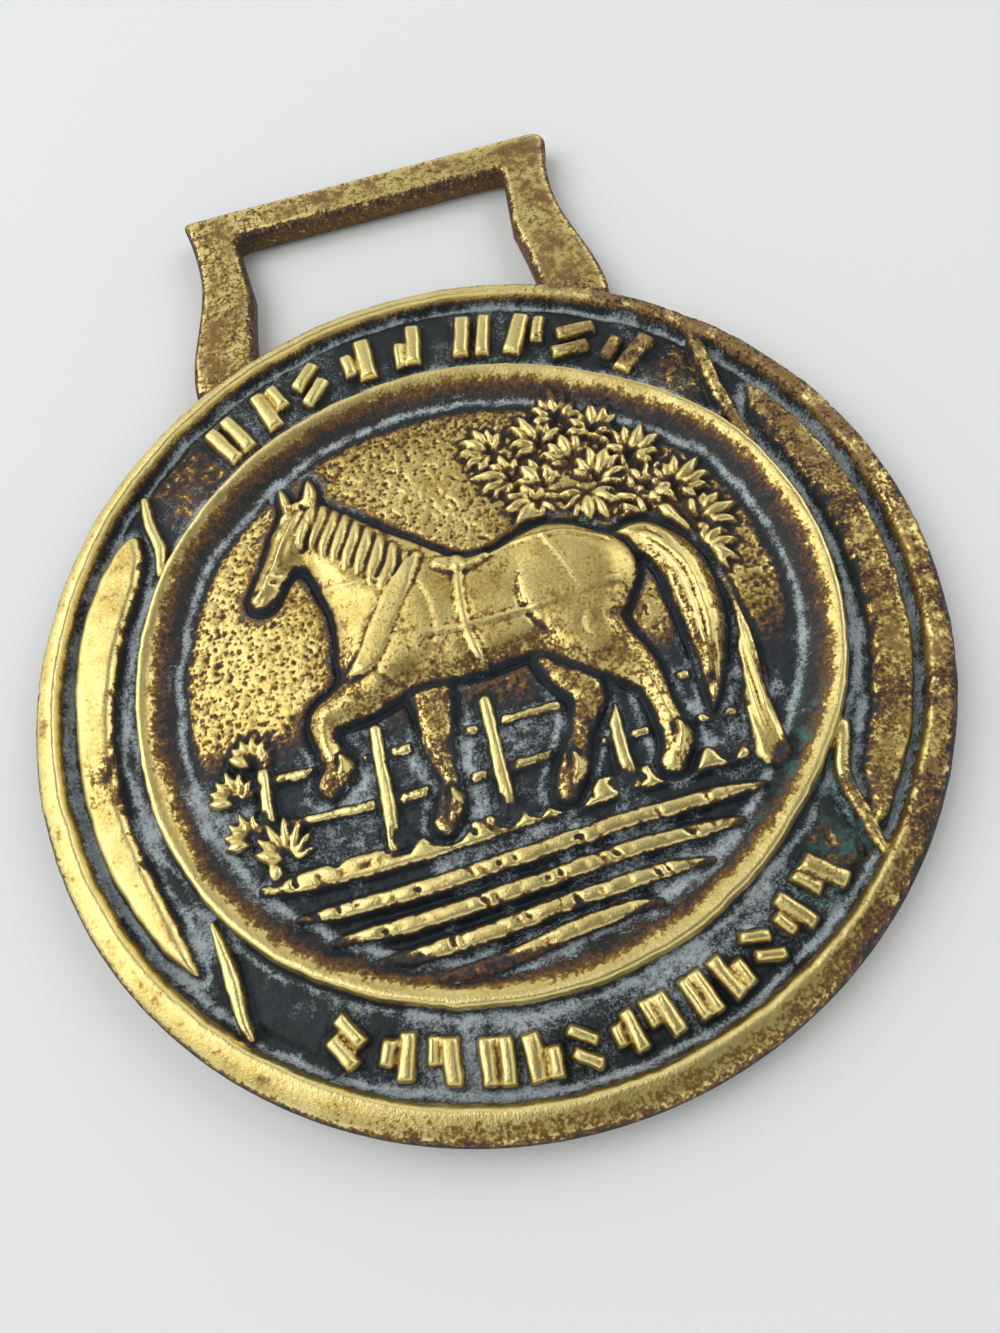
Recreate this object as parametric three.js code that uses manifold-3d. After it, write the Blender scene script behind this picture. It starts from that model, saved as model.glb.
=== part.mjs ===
// Horse brass: a cast brass pendant with a strap loop, worn on a leather harness strap.
//
// Frame, in millimetres: the origin is on the flat back, at the centre of the disc. +Z points out of
// the relief face, +Y points to the strap loop, and +X points to the right of the face.
// The casting is one solid. A round plate carries a raised rim and a raised ring. Between them lie two
// crescents, four short bars and two rows of plain strokes. Inside the ring a heavy horse walks to the
// left in front of a rail fence, with a tree behind it and plough furrows below.

import * as THREE from 'three';
import { mergeVertices } from 'three/addons/utils/BufferGeometryUtils.js';
import Module from 'manifold-3d';

// Plate, rim and ring
const DISC_RADIUS = 40;
const DISC_SEGMENTS = 72;
const FIELD = 1.6;
const GROOVE = 1.3;
const RIM_TOP = 3.2;
const WELL_CENTRE = [0, 0.65];
const WELL_RADIUS = 37.8;
const RING_RADIUS = 31;
const RING_TOP = 3.2;
const RING_SEGMENTS = 56;
const ROUNDEL_CENTRE = [0.3, -0.9];
const ROUNDEL_RADIUS = 27.6;
const ROUNDEL_TOP = 1.85;
// The ring's outer edge, which bulges a little at its two sides: [degrees, radius]
const RING_EDGE = [
  [0, 32], [25, 32.05], [42, 31.2], [55, 30.4], [80, 30.05], [105, 30.2], [130, 30.7], [150, 31.1],
  [180, 31], [205, 31.35], [225, 31.3], [245, 30.75], [270, 30.5], [305, 30.5], [320, 30.65],
  [340, 31.6], [360, 32],
];

// Strap loop
const LOOP_TOP_Y = 58.2;
const LOOP_TOP_HALF = 20.4;
const LOOP_WAIST_HALF = 19.4;
const LOOP_FOOT_HALF = 21.7;
const LOOP_THICKNESS = 2.8;
const LOOP_CORNER_RADIUS = [0.7, 1.7];
const LOOP_FOOT_RADIUS = 39.2;
const SLOT_TOP_Y = 54;
const SLOT_TOP_HALF = 14.9;
const SLOT_WAIST_HALF = 14.2;
const SLOT_FOOT_HALF = 15.1;
const SLOT_CORNER_RADIUS = 0.6;

// Heights that the raised work reaches above the back
const CRESCENT_TOP = 2.75;
const BAR_TOP = 2.5;
const STROKE_TOP = 2.7;
const FURROW_TOP = 2.3;
const FENCE_TOP = 2.35;
const TREE_TOP = 2.5;
const LEAF_TOP = 2.5;
const FAR_LEG_TOP = 2.4;
const NEAR_LEG_TOP = 2.85;
const TAIL_TOP = 2.7;
const HEAD_TOP = 2.85;
const NECK_TOP = 3.0;
const BARREL_TOP = 3.05;
const MUSCLE_TOP = 3.4;

// Every raised form starts this far above the back, inside the plate
const FOOT = 0.15;
const CURVE_SEGMENTS = 4;

// A line of circles [x, y, radius]; the form is swept from each circle to the next.
const BARREL = [[-5.4, 3.6, 6.3], [-1.5, 3.0, 5.9], [3, 3.2, 5.7], [8.6, 4.4, 5.7], [12, 4.4, 3.9]];
const NECK = [[-4.8, 5.2, 6.2], [-7.9, 9.2, 5], [-10.4, 13.2, 3.7], [-12.4, 16.2, 2.5]];
const CHEST = [[-8, 3.8, 4.6], [-9.1, 1.8, 3.5]];
const HEAD = [[-13.4, 16.9, 2.45], [-14.6, 15, 2.3], [-16.5, 12.6, 1.6], [-18.2, 9.9, 1.4]];
const NEAR_FORELEG = [
  [-7.2, 1.6, 3.6], [-9.4, -1, 2.8], [-12.1, -2.4, 2], [-14.4, -3.3, 1.6],
  [-14.5, -5.9, 1.1], [-13.8, -7.9, 1.4], [-14.9, -9.3, 1.3],
];
const NEAR_HINDLEG = [
  [9.4, 3.2, 5.4], [9, 0, 4.2], [11, -3.2, 2.8], [13.2, -6.1, 1.8],
  [13.9, -9.4, 1.2], [14.3, -12.6, 1.45], [13.4, -14.5, 1.3],
];
const FAR_FORELEG = [
  [-5.2, -0.5, 2.7], [-4.9, -4.5, 1.95], [-5.2, -8.3, 1.6],
  [-4.9, -11.2, 1.05], [-5.2, -13.2, 1.35], [-6, -14.8, 1.3],
];
const FAR_HINDLEG = [
  [7.2, -0.5, 3.2], [7, -4, 2.3], [8.2, -6.9, 1.65],
  [6.6, -10.4, 1.15], [5.4, -12.9, 1.4], [4.3, -14.7, 1.25],
];
const TAIL = [
  [14, 6.6, 1.2], [16.8, 6.5, 1.7], [19, 3.6, 2.2], [19.6, -0.6, 2.3],
  [19.4, -5, 1.8], [18.6, -8.6, 1], [17.9, -11, 0.4],
];
const EARS = [
  [[-12.3, 18.4, 0.9], [-12.1, 21.4, 0.3]],
  [[-14.4, 18.4, 0.8], [-15, 21.1, 0.3]],
];
const COLLAR = [[-3.4, 9.9, 0.7], [-5.6, 7, 1], [-7.8, 3.6, 1.1], [-9.6, 0.8, 1], [-11.2, -0.1, 0.6]];

// Muscles: [x, y, half-length, half-width, turn in degrees]
const MUSCLES = [
  [9.4, 4, 5.2, 4.8, 20],
  [-6.2, 3.8, 4.2, 5.6, -30],
  [0.6, 2.6, 7, 4.4, 0],
];

const TRUNK = [[21.4, -15.6, 1.6], [21.6, -10.8, 1.2], [22.3, -5, 1.05], [21.5, 1, 1], [20.4, 6.5, 0.9]];
const BOUGHS = [
  [[20.4, 6.5, 0.9], [18.2, 11, 0.7], [15.5, 14.5, 0.5]],
  [[21.3, 3, 0.6], [23.1, 8, 0.45]],
  [[19, 9.8, 0.55], [14, 11.8, 0.45], [9.5, 13.2, 0.35]],
  [[17.5, 12, 0.5], [14.5, 19.5, 0.35]],
];
// Leaf clusters: [x, y, direction of the middle of the fan in degrees]
const LEAF_CLUSTERS = [
  [9.5, 14.6, 130], [12.8, 16.6, 95], [6.6, 16, 160], [10.2, 19.4, 110], [15.6, 19.2, 75], [14.8, 14, 60],
  [18.4, 15.6, 50], [19.2, 11.4, 20], [21.4, 11, 40], [22.6, 6.8, 10], [5.4, 19.6, 145], [17.6, 8, 190],
  [12.6, 21.6, 85], [8.4, 12.6, 215], [13.2, 12, 265], [21.8, 3.6, 330],
];
const LEAVES_PER_CLUSTER = 4;
const CLUSTER_SPREAD = 50;
const LEAF_LENGTH = 3.2;
const LEAF_WIDTH = 1.3;
// Shrubs: [x, y, leaf length, lean in degrees]
const SHRUBS = [
  [-22.2, -12.6, 3.4, 14], [-19.6, -14.6, 4.2, -6], [-23.2, -8.8, 3.4, 6], [-21.4, -5.8, 3.1, -12],
];
const LEAVES_PER_SHRUB = 5;
const SHRUB_SPREAD = 29;

const RAILS_Y = [-7.4, -11.5];
const RAIL_WIDTH = 1.2;
const POSTS_X = [-20.5, -10.4, -0.6, 9.6];
const POST_WIDTH = 1.5;
const POST_SPAN_Y = [-15.5, -4.8];
const GROUND_Y = -15.9;
const GROUND_HALF_WIDTH = 1.2;
const FURROWS_Y = [-19, -21.4, -23.8, -26];
const FURROW_HALF_WIDTH = 0.95;

// Polar points [degrees, radius], in order round each crescent
const LEFT_CRESCENT = [
  [149, 33.6], [155, 32.9], [165, 32.9], [178, 33.1], [190, 33.3], [202, 33.5], [210, 34], [215, 34.7],
  [218.5, 35.6], [213, 36.2], [202, 36.4], [188, 36.5], [176, 36.6], [165, 37], [155, 37.05], [148, 36.6],
  [145.5, 35.4],
];
const RIGHT_CRESCENT = [
  [32, 36.4], [26, 36.85], [12, 36.85], [-4, 36.85], [-18, 36.85], [-30, 36.75], [-40.5, 36.4],
  [-38, 34.6], [-33, 33.4], [-22, 33.3], [-10, 33.3], [2, 33.3], [14, 33.3], [25, 33.4], [30, 34.8],
];
// Bars between the rim and the ring: [degrees, radius, half-width] along each
const BARS = [
  [[139.8, 36.8, 0.5], [142.5, 35.2, 0.6], [145.5, 33.2, 0.65], [147.5, 32.1, 0.65], [151, 31.2, 0.5]],
  [[43.5, 38.2, 0.7], [40.5, 36.6, 0.75], [37, 35, 0.75], [33, 33.6, 0.75], [28, 32.5, 0.65], [24, 32, 0.5]],
  [[-43.5, 37, 0.5], [-41, 35.2, 0.7], [-38.5, 33.4, 0.75], [-35.5, 32.1, 0.75], [-29, 31.4, 0.6]],
  [[229, 36.7, 0.3], [226.5, 35.9, 0.55], [222, 33.9, 0.6], [217, 32.4, 0.5], [214.8, 31.9, 0.3]],
];

// Cells of the two rows of strokes, in degrees, with a wider gap between groups
const TOP_CELLS = [
  [127, 120.5], [118, 112], [110.5, 104], [101, 95], [92, 86.5],
  [82, 74.5], [73, 66], [65, 57], [55.5, 47.5],
];
const BOTTOM_CELLS = [
  [237.5, 243], [245, 250], [251, 256], [257.5, 262.5], [263, 268], [269, 273.5], [275, 279],
  [279.5, 284], [285, 289], [289.5, 294], [295, 299.5], [300.5, 305], [306.5, 312],
];
const TOP_ROW_RADII = [31.3, 36.5];
const BOTTOM_ROW_RADII = [32, 36.2];
// A cell narrower than this has thinner strokes
const FULL_CELL = 6;
// Each mark is a list of strokes [u, v, u, v, half-width]. u runs along the row and v runs outwards,
// both from -1 to 1 across the cell.
const MARKS = [
  [[-0.62, -1, -0.5, 1, 0.84], [0.55, -1, 0.62, 1, 0.78]],
  [[-0.5, -1, -0.25, 1, 0.94], [0.78, -0.1, 0.78, 0.9, 0.72]],
  [[-0.6, 0.3, 0.55, 0.95, 0.74], [-0.6, -0.95, 0.6, -0.3, 0.74]],
  [[0.25, -1, 0.5, 1, 0.94], [-0.82, -0.4, -0.78, 0.4, 0.72]],
  [[-0.82, -0.95, -0.7, 0.05, 0.72], [0.2, -1, 0.5, 1, 0.9]],
];

const wasm = await Module();
wasm.setup();

// A closed three.js geometry as a manifold solid, without the empty triangles at a lathe's axis.
function toSolid(geometry) {
  geometry.deleteAttribute('normal');
  geometry.deleteAttribute('uv');
  const merged = mergeVertices(geometry, 1e-4);
  const corners = [];
  for (let i = 0; i < merged.index.count; i += 3) {
    const [a, b, c] = [0, 1, 2].map((k) => merged.index.getX(i + k));
    if (a !== b && b !== c && c !== a) {
      corners.push(a, b, c);
    }
  }
  return new wasm.Manifold(new wasm.Mesh({
    numProp: 3,
    vertProperties: merged.attributes.position.array,
    triVerts: new Uint32Array(corners),
  }));
}

function polar(degrees, radius) {
  const angle = THREE.MathUtils.degToRad(degrees);
  return new THREE.Vector2(radius * Math.cos(angle), radius * Math.sin(angle));
}

// A profile of [radius, z] points turned round a vertical axis.
function turned(profile, segments, [x, y]) {
  const points = profile.map(([radius, z]) => new THREE.Vector2(radius, z));
  const geometry = new THREE.LatheGeometry(points, segments);
  geometry.rotateX(Math.PI / 2);
  geometry.translate(x, y, 0);
  return toSolid(geometry);
}

// A profile of [radius, z] points carried round the ring, stretched to follow the ring's outer edge.
function roundRing(profile) {
  const points = profile.map(([radius, z]) => new THREE.Vector2(radius, z));
  const geometry = new THREE.LatheGeometry(points, RING_SEGMENTS);
  geometry.rotateX(Math.PI / 2);
  const { position } = geometry.attributes;
  for (let i = 0; i < position.count; i += 1) {
    const [x, y] = [position.getX(i), position.getY(i)];
    const degrees = THREE.MathUtils.euclideanModulo(THREE.MathUtils.radToDeg(Math.atan2(y, x)), 360);
    const next = Math.max(1, RING_EDGE.findIndex(([angle]) => angle >= degrees));
    const [[from, near], [to, far]] = [RING_EDGE[next - 1], RING_EDGE[next]];
    const stretch = THREE.MathUtils.mapLinear(degrees, from, to, near, far) / RING_RADIUS;
    position.setXY(i, x * stretch, y * stretch);
  }
  return toSolid(geometry);
}

// An outline raised to a height. Its edges fall by `fall` over the plan width `round`.
function raised(shape, top, round, fall, bevelSteps = 1, foot = FOOT) {
  const geometry = new THREE.ExtrudeGeometry(shape, {
    depth: top - foot - 2 * fall,
    bevelThickness: fall,
    bevelSize: round,
    bevelOffset: -round,
    bevelSegments: bevelSteps,
    curveSegments: CURVE_SEGMENTS,
  });
  geometry.translate(0, 0, foot + fall);
  return toSolid(geometry);
}

// The outline round two circles [x, y, radius] and the tangents that join them, with each end's arc
// drawn in a number of steps.
function capsule([ax, ay, ar], [bx, by, br], steps) {
  const direction = Math.atan2(by - ay, bx - ax);
  const spread = Math.acos((ar - br) / Math.hypot(bx - ax, by - ay));
  const arc = (x, y, radius, from, to) => Array.from({ length: steps + 1 }, (_, i) => {
    const angle = from + ((to - from) * i) / steps;
    return new THREE.Vector2(x + radius * Math.cos(angle), y + radius * Math.sin(angle));
  });
  return new THREE.Shape([
    ...arc(ax, ay, ar, direction + spread, direction - spread + 2 * Math.PI),
    ...arc(bx, by, br, direction - spread, direction + spread),
  ]);
}

// A raised form swept along a line of circles.
function limb(circles, top, round, fall, bevelSteps = 1, arcSteps = 3) {
  return circles.slice(1).map((circle, i) => {
    const narrow = Math.min(circle[2], circles[i][2]);
    const outline = capsule(circles[i], circle, arcSteps);
    return raised(outline, top, Math.min(round, 0.85 * narrow), fall, bevelSteps);
  });
}

// The outline of a strip along a line of circles, cut square at its two ends.
function strip(circles) {
  const points = circles.map(([x, y]) => new THREE.Vector2(x, y));
  const sides = points.map((point, i) => {
    const along = points[Math.min(i + 1, points.length - 1)].clone().sub(points[Math.max(i - 1, 0)]);
    return new THREE.Vector2(-along.y, along.x).setLength(circles[i][2]);
  });
  return new THREE.Shape([
    ...points.map((point, i) => point.clone().add(sides[i])),
    ...points.map((point, i) => point.clone().sub(sides[i])).toReversed(),
  ]);
}

// A pointed leaf with a ridge along it, growing from its foot in the given direction.
function leaf(x, y, degrees, length, width, top) {
  const geometry = new THREE.OctahedronGeometry(1);
  geometry.scale(length / 2, width / 2, top - FIELD + 0.3);
  geometry.translate(length / 2, 0, FIELD - 0.3);
  geometry.rotateZ(THREE.MathUtils.degToRad(degrees));
  geometry.translate(x, y, 0);
  return toSolid(geometry);
}

function muscle([x, y, halfLength, halfWidth, turn]) {
  const geometry = new THREE.SphereGeometry(1, 12, 6);
  geometry.rotateX(Math.PI / 2);
  geometry.scale(halfLength, halfWidth, MUSCLE_TOP - FIELD - 0.1);
  geometry.rotateZ(THREE.MathUtils.degToRad(turn));
  geometry.translate(x, y, FIELD + 0.1);
  return toSolid(geometry);
}

// A level strip that keeps inside the roundel and narrows at its two ends.
function furrow(y, halfWidth, top) {
  const half = Math.sqrt((ROUNDEL_RADIUS - 1) ** 2 - (y - ROUNDEL_CENTRE[1]) ** 2);
  const line = (t) => new THREE.Vector2(half * t, y + 0.8 * Math.sin(2 * t));
  const stops = [-0.75, 0, 0.75];
  const shape = new THREE.Shape([
    line(-1),
    ...stops.map((t) => line(t).sub(new THREE.Vector2(0, halfWidth))),
    line(1),
    ...stops.toReversed().map((t) => line(t).add(new THREE.Vector2(0, halfWidth))),
  ]);
  return raised(shape, top, 0.4, 0.4);
}

function box(x, y, width, length, top) {
  const geometry = new THREE.BoxGeometry(width, length, top - FOOT);
  geometry.translate(x, y, (top + FOOT) / 2);
  return toSolid(geometry);
}

// One mark of strokes in a cell of a row.
function mark([from, to], [inner, outer], strokes) {
  const middle = (from + to) / 2;
  const radius = (inner + outer) / 2;
  const halfSpan = (to - from) / 2;
  const share = Math.min(1, Math.abs(to - from) / FULL_CELL);
  return strokes.map(([u0, v0, u1, v1, fullHalfWidth]) => {
    const inset = (outer - inner) / 2 - fullHalfWidth;
    const halfWidth = fullHalfWidth * share + 0.08;
    const place = (u, v) => polar(middle + halfSpan * u * 0.85, radius + inset * v);
    const ends = [place(u0, v0), place(u1, v1)];
    const across = ends[1].clone().sub(ends[0]).normalize().multiplyScalar(halfWidth);
    const corner = (point, sign, turn) => {
      const side = new THREE.Vector2(-across.y, across.x).multiplyScalar(turn);
      return point.clone().addScaledVector(across, sign * 0.9).add(side);
    };
    const outline = new THREE.Shape([
      corner(ends[0], -1, 1),
      corner(ends[0], -1, -1),
      corner(ends[1], 1, -1),
      corner(ends[1], 1, 1),
    ]);
    return raised(outline, STROKE_TOP, 0.2, 0.25);
  });
}

function loopOutline() {
  const [left, right] = LOOP_CORNER_RADIUS;
  const shape = new THREE.Shape();
  shape.moveTo(-LOOP_FOOT_HALF + 0.2, 34);
  shape.lineTo(LOOP_FOOT_HALF - 0.2, 34);
  shape.bezierCurveTo(LOOP_FOOT_HALF + 0.4, 39.5, LOOP_WAIST_HALF, 44, LOOP_WAIST_HALF, 49.5);
  shape.quadraticCurveTo(LOOP_WAIST_HALF, 53, LOOP_TOP_HALF, LOOP_TOP_Y - right);
  shape.quadraticCurveTo(LOOP_TOP_HALF, LOOP_TOP_Y, LOOP_TOP_HALF - right, LOOP_TOP_Y);
  shape.lineTo(-LOOP_TOP_HALF + left, LOOP_TOP_Y);
  shape.quadraticCurveTo(-LOOP_TOP_HALF, LOOP_TOP_Y, -LOOP_TOP_HALF, LOOP_TOP_Y - left);
  shape.quadraticCurveTo(-LOOP_WAIST_HALF, 53, -LOOP_WAIST_HALF, 49.5);
  shape.bezierCurveTo(-LOOP_WAIST_HALF, 44, -LOOP_FOOT_HALF - 0.4, 39.5, -LOOP_FOOT_HALF + 0.2, 34);
  const slot = new THREE.Path();
  const corner = SLOT_CORNER_RADIUS;
  slot.moveTo(-SLOT_FOOT_HALF, 35);
  slot.quadraticCurveTo(-SLOT_FOOT_HALF, 40, -SLOT_WAIST_HALF, 46);
  slot.lineTo(-SLOT_TOP_HALF, SLOT_TOP_Y - corner);
  slot.quadraticCurveTo(-SLOT_TOP_HALF, SLOT_TOP_Y, -SLOT_TOP_HALF + corner, SLOT_TOP_Y);
  slot.lineTo(SLOT_TOP_HALF - corner, SLOT_TOP_Y);
  slot.quadraticCurveTo(SLOT_TOP_HALF, SLOT_TOP_Y, SLOT_TOP_HALF, SLOT_TOP_Y - corner);
  slot.lineTo(SLOT_WAIST_HALF, 46);
  slot.quadraticCurveTo(SLOT_FOOT_HALF, 40, SLOT_FOOT_HALF, 35);
  slot.closePath();
  shape.holes.push(slot);
  return shape;
}

const PLATE_PROFILE = [
  [0, 0],
  [DISC_RADIUS - 0.6, 0],
  [DISC_RADIUS, 0.6],
  [DISC_RADIUS, 2.1],
  [DISC_RADIUS - 0.6, 2.9],
  [DISC_RADIUS - 1.6, RIM_TOP],
  [0, RIM_TOP],
];
// The hollow inside the rim, with a groove along the rim's foot
const WELL_PROFILE = [
  [0, FIELD],
  [WELL_RADIUS - 1.2, FIELD],
  [WELL_RADIUS - 0.3, GROOVE],
  [WELL_RADIUS, RIM_TOP - 0.3],
  [WELL_RADIUS + 0.5, RIM_TOP + 0.1],
  [0, RIM_TOP + 0.1],
];
const RING_PROFILE = [
  [RING_RADIUS - 3.3, FOOT],
  [RING_RADIUS, FOOT],
  [RING_RADIUS, FIELD],
  [RING_RADIUS - 0.25, RING_TOP - 0.35],
  [RING_RADIUS - 0.65, RING_TOP],
  [RING_RADIUS - 1.4, RING_TOP - 0.35],
  [RING_RADIUS - 3.3, FIELD],
  [RING_RADIUS - 3.3, FOOT],
];
const ROUNDEL_PROFILE = [
  [0, FOOT],
  [RING_RADIUS - 5.4, FOOT],
  [RING_RADIUS - 5.4, FIELD],
  [RING_RADIUS - 13, ROUNDEL_TOP],
  [0, ROUNDEL_TOP],
];

const disc = turned(PLATE_PROFILE, DISC_SEGMENTS, [0, 0])
  .subtract(turned(WELL_PROFILE, DISC_SEGMENTS, WELL_CENTRE));
// The loop's feet end under the rim.
const loop = raised(loopOutline(), LOOP_THICKNESS, 0.5, 0.5, 1, 0).subtract(turned(
  [[0, -1], [LOOP_FOOT_RADIUS, -1], [LOOP_FOOT_RADIUS, RIM_TOP], [0, RIM_TOP]],
  DISC_SEGMENTS,
  [0, 0],
));

const crescents = [LEFT_CRESCENT, RIGHT_CRESCENT].map((corners) => {
  const shape = new THREE.Shape(corners.map(([degrees, radius]) => polar(degrees, radius)));
  return raised(shape, CRESCENT_TOP, 0.6, 0.6);
});

const bars = BARS.map((line) => {
  const circles = line.map(([degrees, radius, halfWidth]) => [...polar(degrees, radius), halfWidth]);
  return raised(strip(circles), BAR_TOP, 0.25, 0.3);
});

const strokes = [
  ...TOP_CELLS.flatMap((cell, i) => mark(cell, TOP_ROW_RADII, MARKS[i % MARKS.length])),
  ...BOTTOM_CELLS.flatMap((cell, i) => mark(cell, BOTTOM_ROW_RADII, MARKS[(i + 2) % MARKS.length])),
];

const ground = [
  furrow(GROUND_Y, GROUND_HALF_WIDTH, FURROW_TOP),
  ...FURROWS_Y.map((y) => furrow(y, FURROW_HALF_WIDTH, FURROW_TOP)),
];

const fence = [
  ...RAILS_Y.map((y) => box(-1.5, y, 45, RAIL_WIDTH, FENCE_TOP - 0.2)),
  ...POSTS_X.map((x) => {
    const [low, high] = POST_SPAN_Y;
    return box(x, (low + high) / 2, POST_WIDTH, high - low, FENCE_TOP);
  }),
];

const tree = [
  ...limb(TRUNK, TREE_TOP, 0.5, 0.5, 1, 3),
  ...BOUGHS.flatMap((bough) => limb(bough, TREE_TOP - 0.2, 0.3, 0.4, 1, 2)),
  ...LEAF_CLUSTERS.flatMap(([x, y, turn]) => {
    const middle = (LEAVES_PER_CLUSTER - 1) / 2;
    return Array.from({ length: LEAVES_PER_CLUSTER }, (_, i) => (
      leaf(x, y, turn + (i - middle) * CLUSTER_SPREAD, LEAF_LENGTH, LEAF_WIDTH, LEAF_TOP)
    ));
  }),
];

const shrubs = SHRUBS.flatMap(([x, y, length, lean]) => {
  const middle = (LEAVES_PER_SHRUB - 1) / 2;
  return Array.from({ length: LEAVES_PER_SHRUB }, (_, i) => (
    leaf(x, y, 90 + lean + (i - middle) * SHRUB_SPREAD, length, LEAF_WIDTH, LEAF_TOP)
  ));
});

const horse = [
  ...limb(FAR_FORELEG, FAR_LEG_TOP, 0.8, 0.7),
  ...limb(FAR_HINDLEG, FAR_LEG_TOP, 0.8, 0.7),
  ...limb(TAIL, TAIL_TOP, 1, 0.9),
  ...limb(BARREL, BARREL_TOP, 2.4, 1.35, 2, 6),
  ...limb(CHEST, BARREL_TOP, 2, 1.35, 1, 6),
  ...limb(NECK, NECK_TOP, 2, 1.3, 1, 6),
  ...limb(HEAD, HEAD_TOP, 1, 1.1),
  ...EARS.flatMap((ear) => limb(ear, HEAD_TOP, 0.3, 0.6)),
  ...limb(NEAR_FORELEG, NEAR_LEG_TOP, 1, 1),
  ...limb(NEAR_HINDLEG, NEAR_LEG_TOP, 1, 1),
  ...MUSCLES.map(muscle),
  ...limb(COLLAR, MUSCLE_TOP, 0.4, 0.4),
];

const casting = [
  loop,
  roundRing(ROUNDEL_PROFILE),
  roundRing(RING_PROFILE),
  ...crescents,
  ...bars,
  ...strokes,
  ...ground,
  ...fence,
  ...tree,
  ...shrubs,
  ...horse,
].reduce((body, piece) => body.add(piece), disc);

const solid = casting.getMesh();
const geometry = new THREE.BufferGeometry();
geometry.setAttribute('position', new THREE.BufferAttribute(solid.vertProperties, 3));
geometry.setIndex(new THREE.BufferAttribute(solid.triVerts, 1));

const agedBrass = new THREE.MeshStandardMaterial({ color: 0xb89a4c, metalness: 1, roughness: 0.42 });

const brass = new THREE.Mesh(geometry, agedBrass);
brass.name = 'horse_brass';

const group = new THREE.Group();
group.add(brass);

export default group;
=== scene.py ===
"""Horse brass: one cast piece with a fine relief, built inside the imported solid's box.

Lengths in the relief are millimetres along the frame's axes. The mesh is scaled to metres when it is made.
"""

import math

import bpy
import numpy as np
from mathutils import Matrix, Vector


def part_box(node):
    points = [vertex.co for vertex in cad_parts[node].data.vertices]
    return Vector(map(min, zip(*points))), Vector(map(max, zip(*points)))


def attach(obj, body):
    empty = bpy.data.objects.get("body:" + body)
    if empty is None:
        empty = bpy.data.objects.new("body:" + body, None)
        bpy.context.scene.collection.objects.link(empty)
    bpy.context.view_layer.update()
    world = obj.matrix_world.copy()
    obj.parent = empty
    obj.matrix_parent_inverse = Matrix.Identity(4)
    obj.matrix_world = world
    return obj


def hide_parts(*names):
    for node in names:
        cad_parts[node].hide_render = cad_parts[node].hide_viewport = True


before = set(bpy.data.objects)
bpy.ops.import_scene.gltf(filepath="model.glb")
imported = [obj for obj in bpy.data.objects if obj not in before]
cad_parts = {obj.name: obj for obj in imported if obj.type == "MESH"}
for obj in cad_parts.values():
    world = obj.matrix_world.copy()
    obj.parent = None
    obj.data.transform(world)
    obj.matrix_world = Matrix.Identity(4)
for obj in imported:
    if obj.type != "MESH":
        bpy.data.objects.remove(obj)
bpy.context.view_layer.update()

MM = 0.001
low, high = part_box("horse_brass")
# The plate's radius, the loop's far edge and the highest point of the relief
DISC = (high.x - low.x) / 2 / MM
LOOP_TOP_Y = high.y / MM
TOP = high.z / MM - 0.02

# The grid's step, and the mesh's size once thinned
PITCH = 0.1
TRIANGLES = 192000
SEED = 11
FAR_AWAY = 50.0

# Heights above the back
FIELD = 1.6
GROOVE = 1.25
GROUND = 1.35
RIM_TOP = 3.18
RING_TOP = 3.15
LOOP_TOP = 2.8
WALL_TOP = 2.1
BACK_EDGE = 0.55
BACK_WAVE = 0.05
# The face's colours start at this height, and the back's end
FACE_FROM = 1.0

# The rim's inner edge is a circle of this radius, set this far towards the loop
WELL_RADIUS = 37.8
WELL_SHIFT = 0.65
# The ring's crest lies this far inside its outer edge, and the roundel starts this far inside the crest
RING_CREST = 0.7
ROUNDEL_INSET = 2.7
# The strips of ground in the roundel end on this circle
ROUNDEL_CENTRE = (0.3, -0.9)
ROUNDEL_RADIUS = 27.6
LOOP_FOOT_RADIUS = 39.0


# ---------------------------------------------------------------- the height field

class Canvas:
    """A grid of heights over the plan.

    PX and PY are the plan itself. X and Y waver a little, as the lines of a sand casting do, and forms are
    drawn in them. crescent is the distance to the nearer crescent of the border.
    """

    def __init__(self, x0, x1, y0, y1, pitch):
        self.x0, self.y0, self.pitch = x0, y0, pitch
        xs = np.arange(x0, x1 + pitch / 2, pitch, dtype=np.float32)
        ys = np.arange(y0, y1 + pitch / 2, pitch, dtype=np.float32)
        self.PX, self.PY = np.meshgrid(xs, ys)
        self.X, self.Y = self.PX, self.PY
        self.Z = np.zeros_like(self.X)
        self.crescent = np.full(self.X.shape, FAR_AWAY, np.float32)

    def window(self, x0, x1, y0, y1):
        """The rows and columns that cover a rectangle of the plan."""
        rows, cols = self.X.shape
        i0, i1 = (int(np.clip((v - self.y0) / self.pitch + k, 0, rows)) for v, k in ((y0, 0), (y1, 2)))
        j0, j1 = (int(np.clip((v - self.x0) / self.pitch + k, 0, cols)) for v, k in ((x0, 0), (x1, 2)))
        return slice(i0, i1), slice(j0, j1)

    def sample(self, grid, x, y):
        """The grid's values at plan points, with bilinear steps."""
        u = np.clip((x - self.x0) / self.pitch, 0, grid.shape[1] - 1.001)
        v = np.clip((y - self.y0) / self.pitch, 0, grid.shape[0] - 1.001)
        i, j = v.astype(int), u.astype(int)
        fu, fv = u - j, v - i
        top = grid[i + 1, j] * (1 - fu) + grid[i + 1, j + 1] * fu
        return (grid[i, j] * (1 - fu) + grid[i, j + 1] * fu) * (1 - fv) + top * fv


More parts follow.
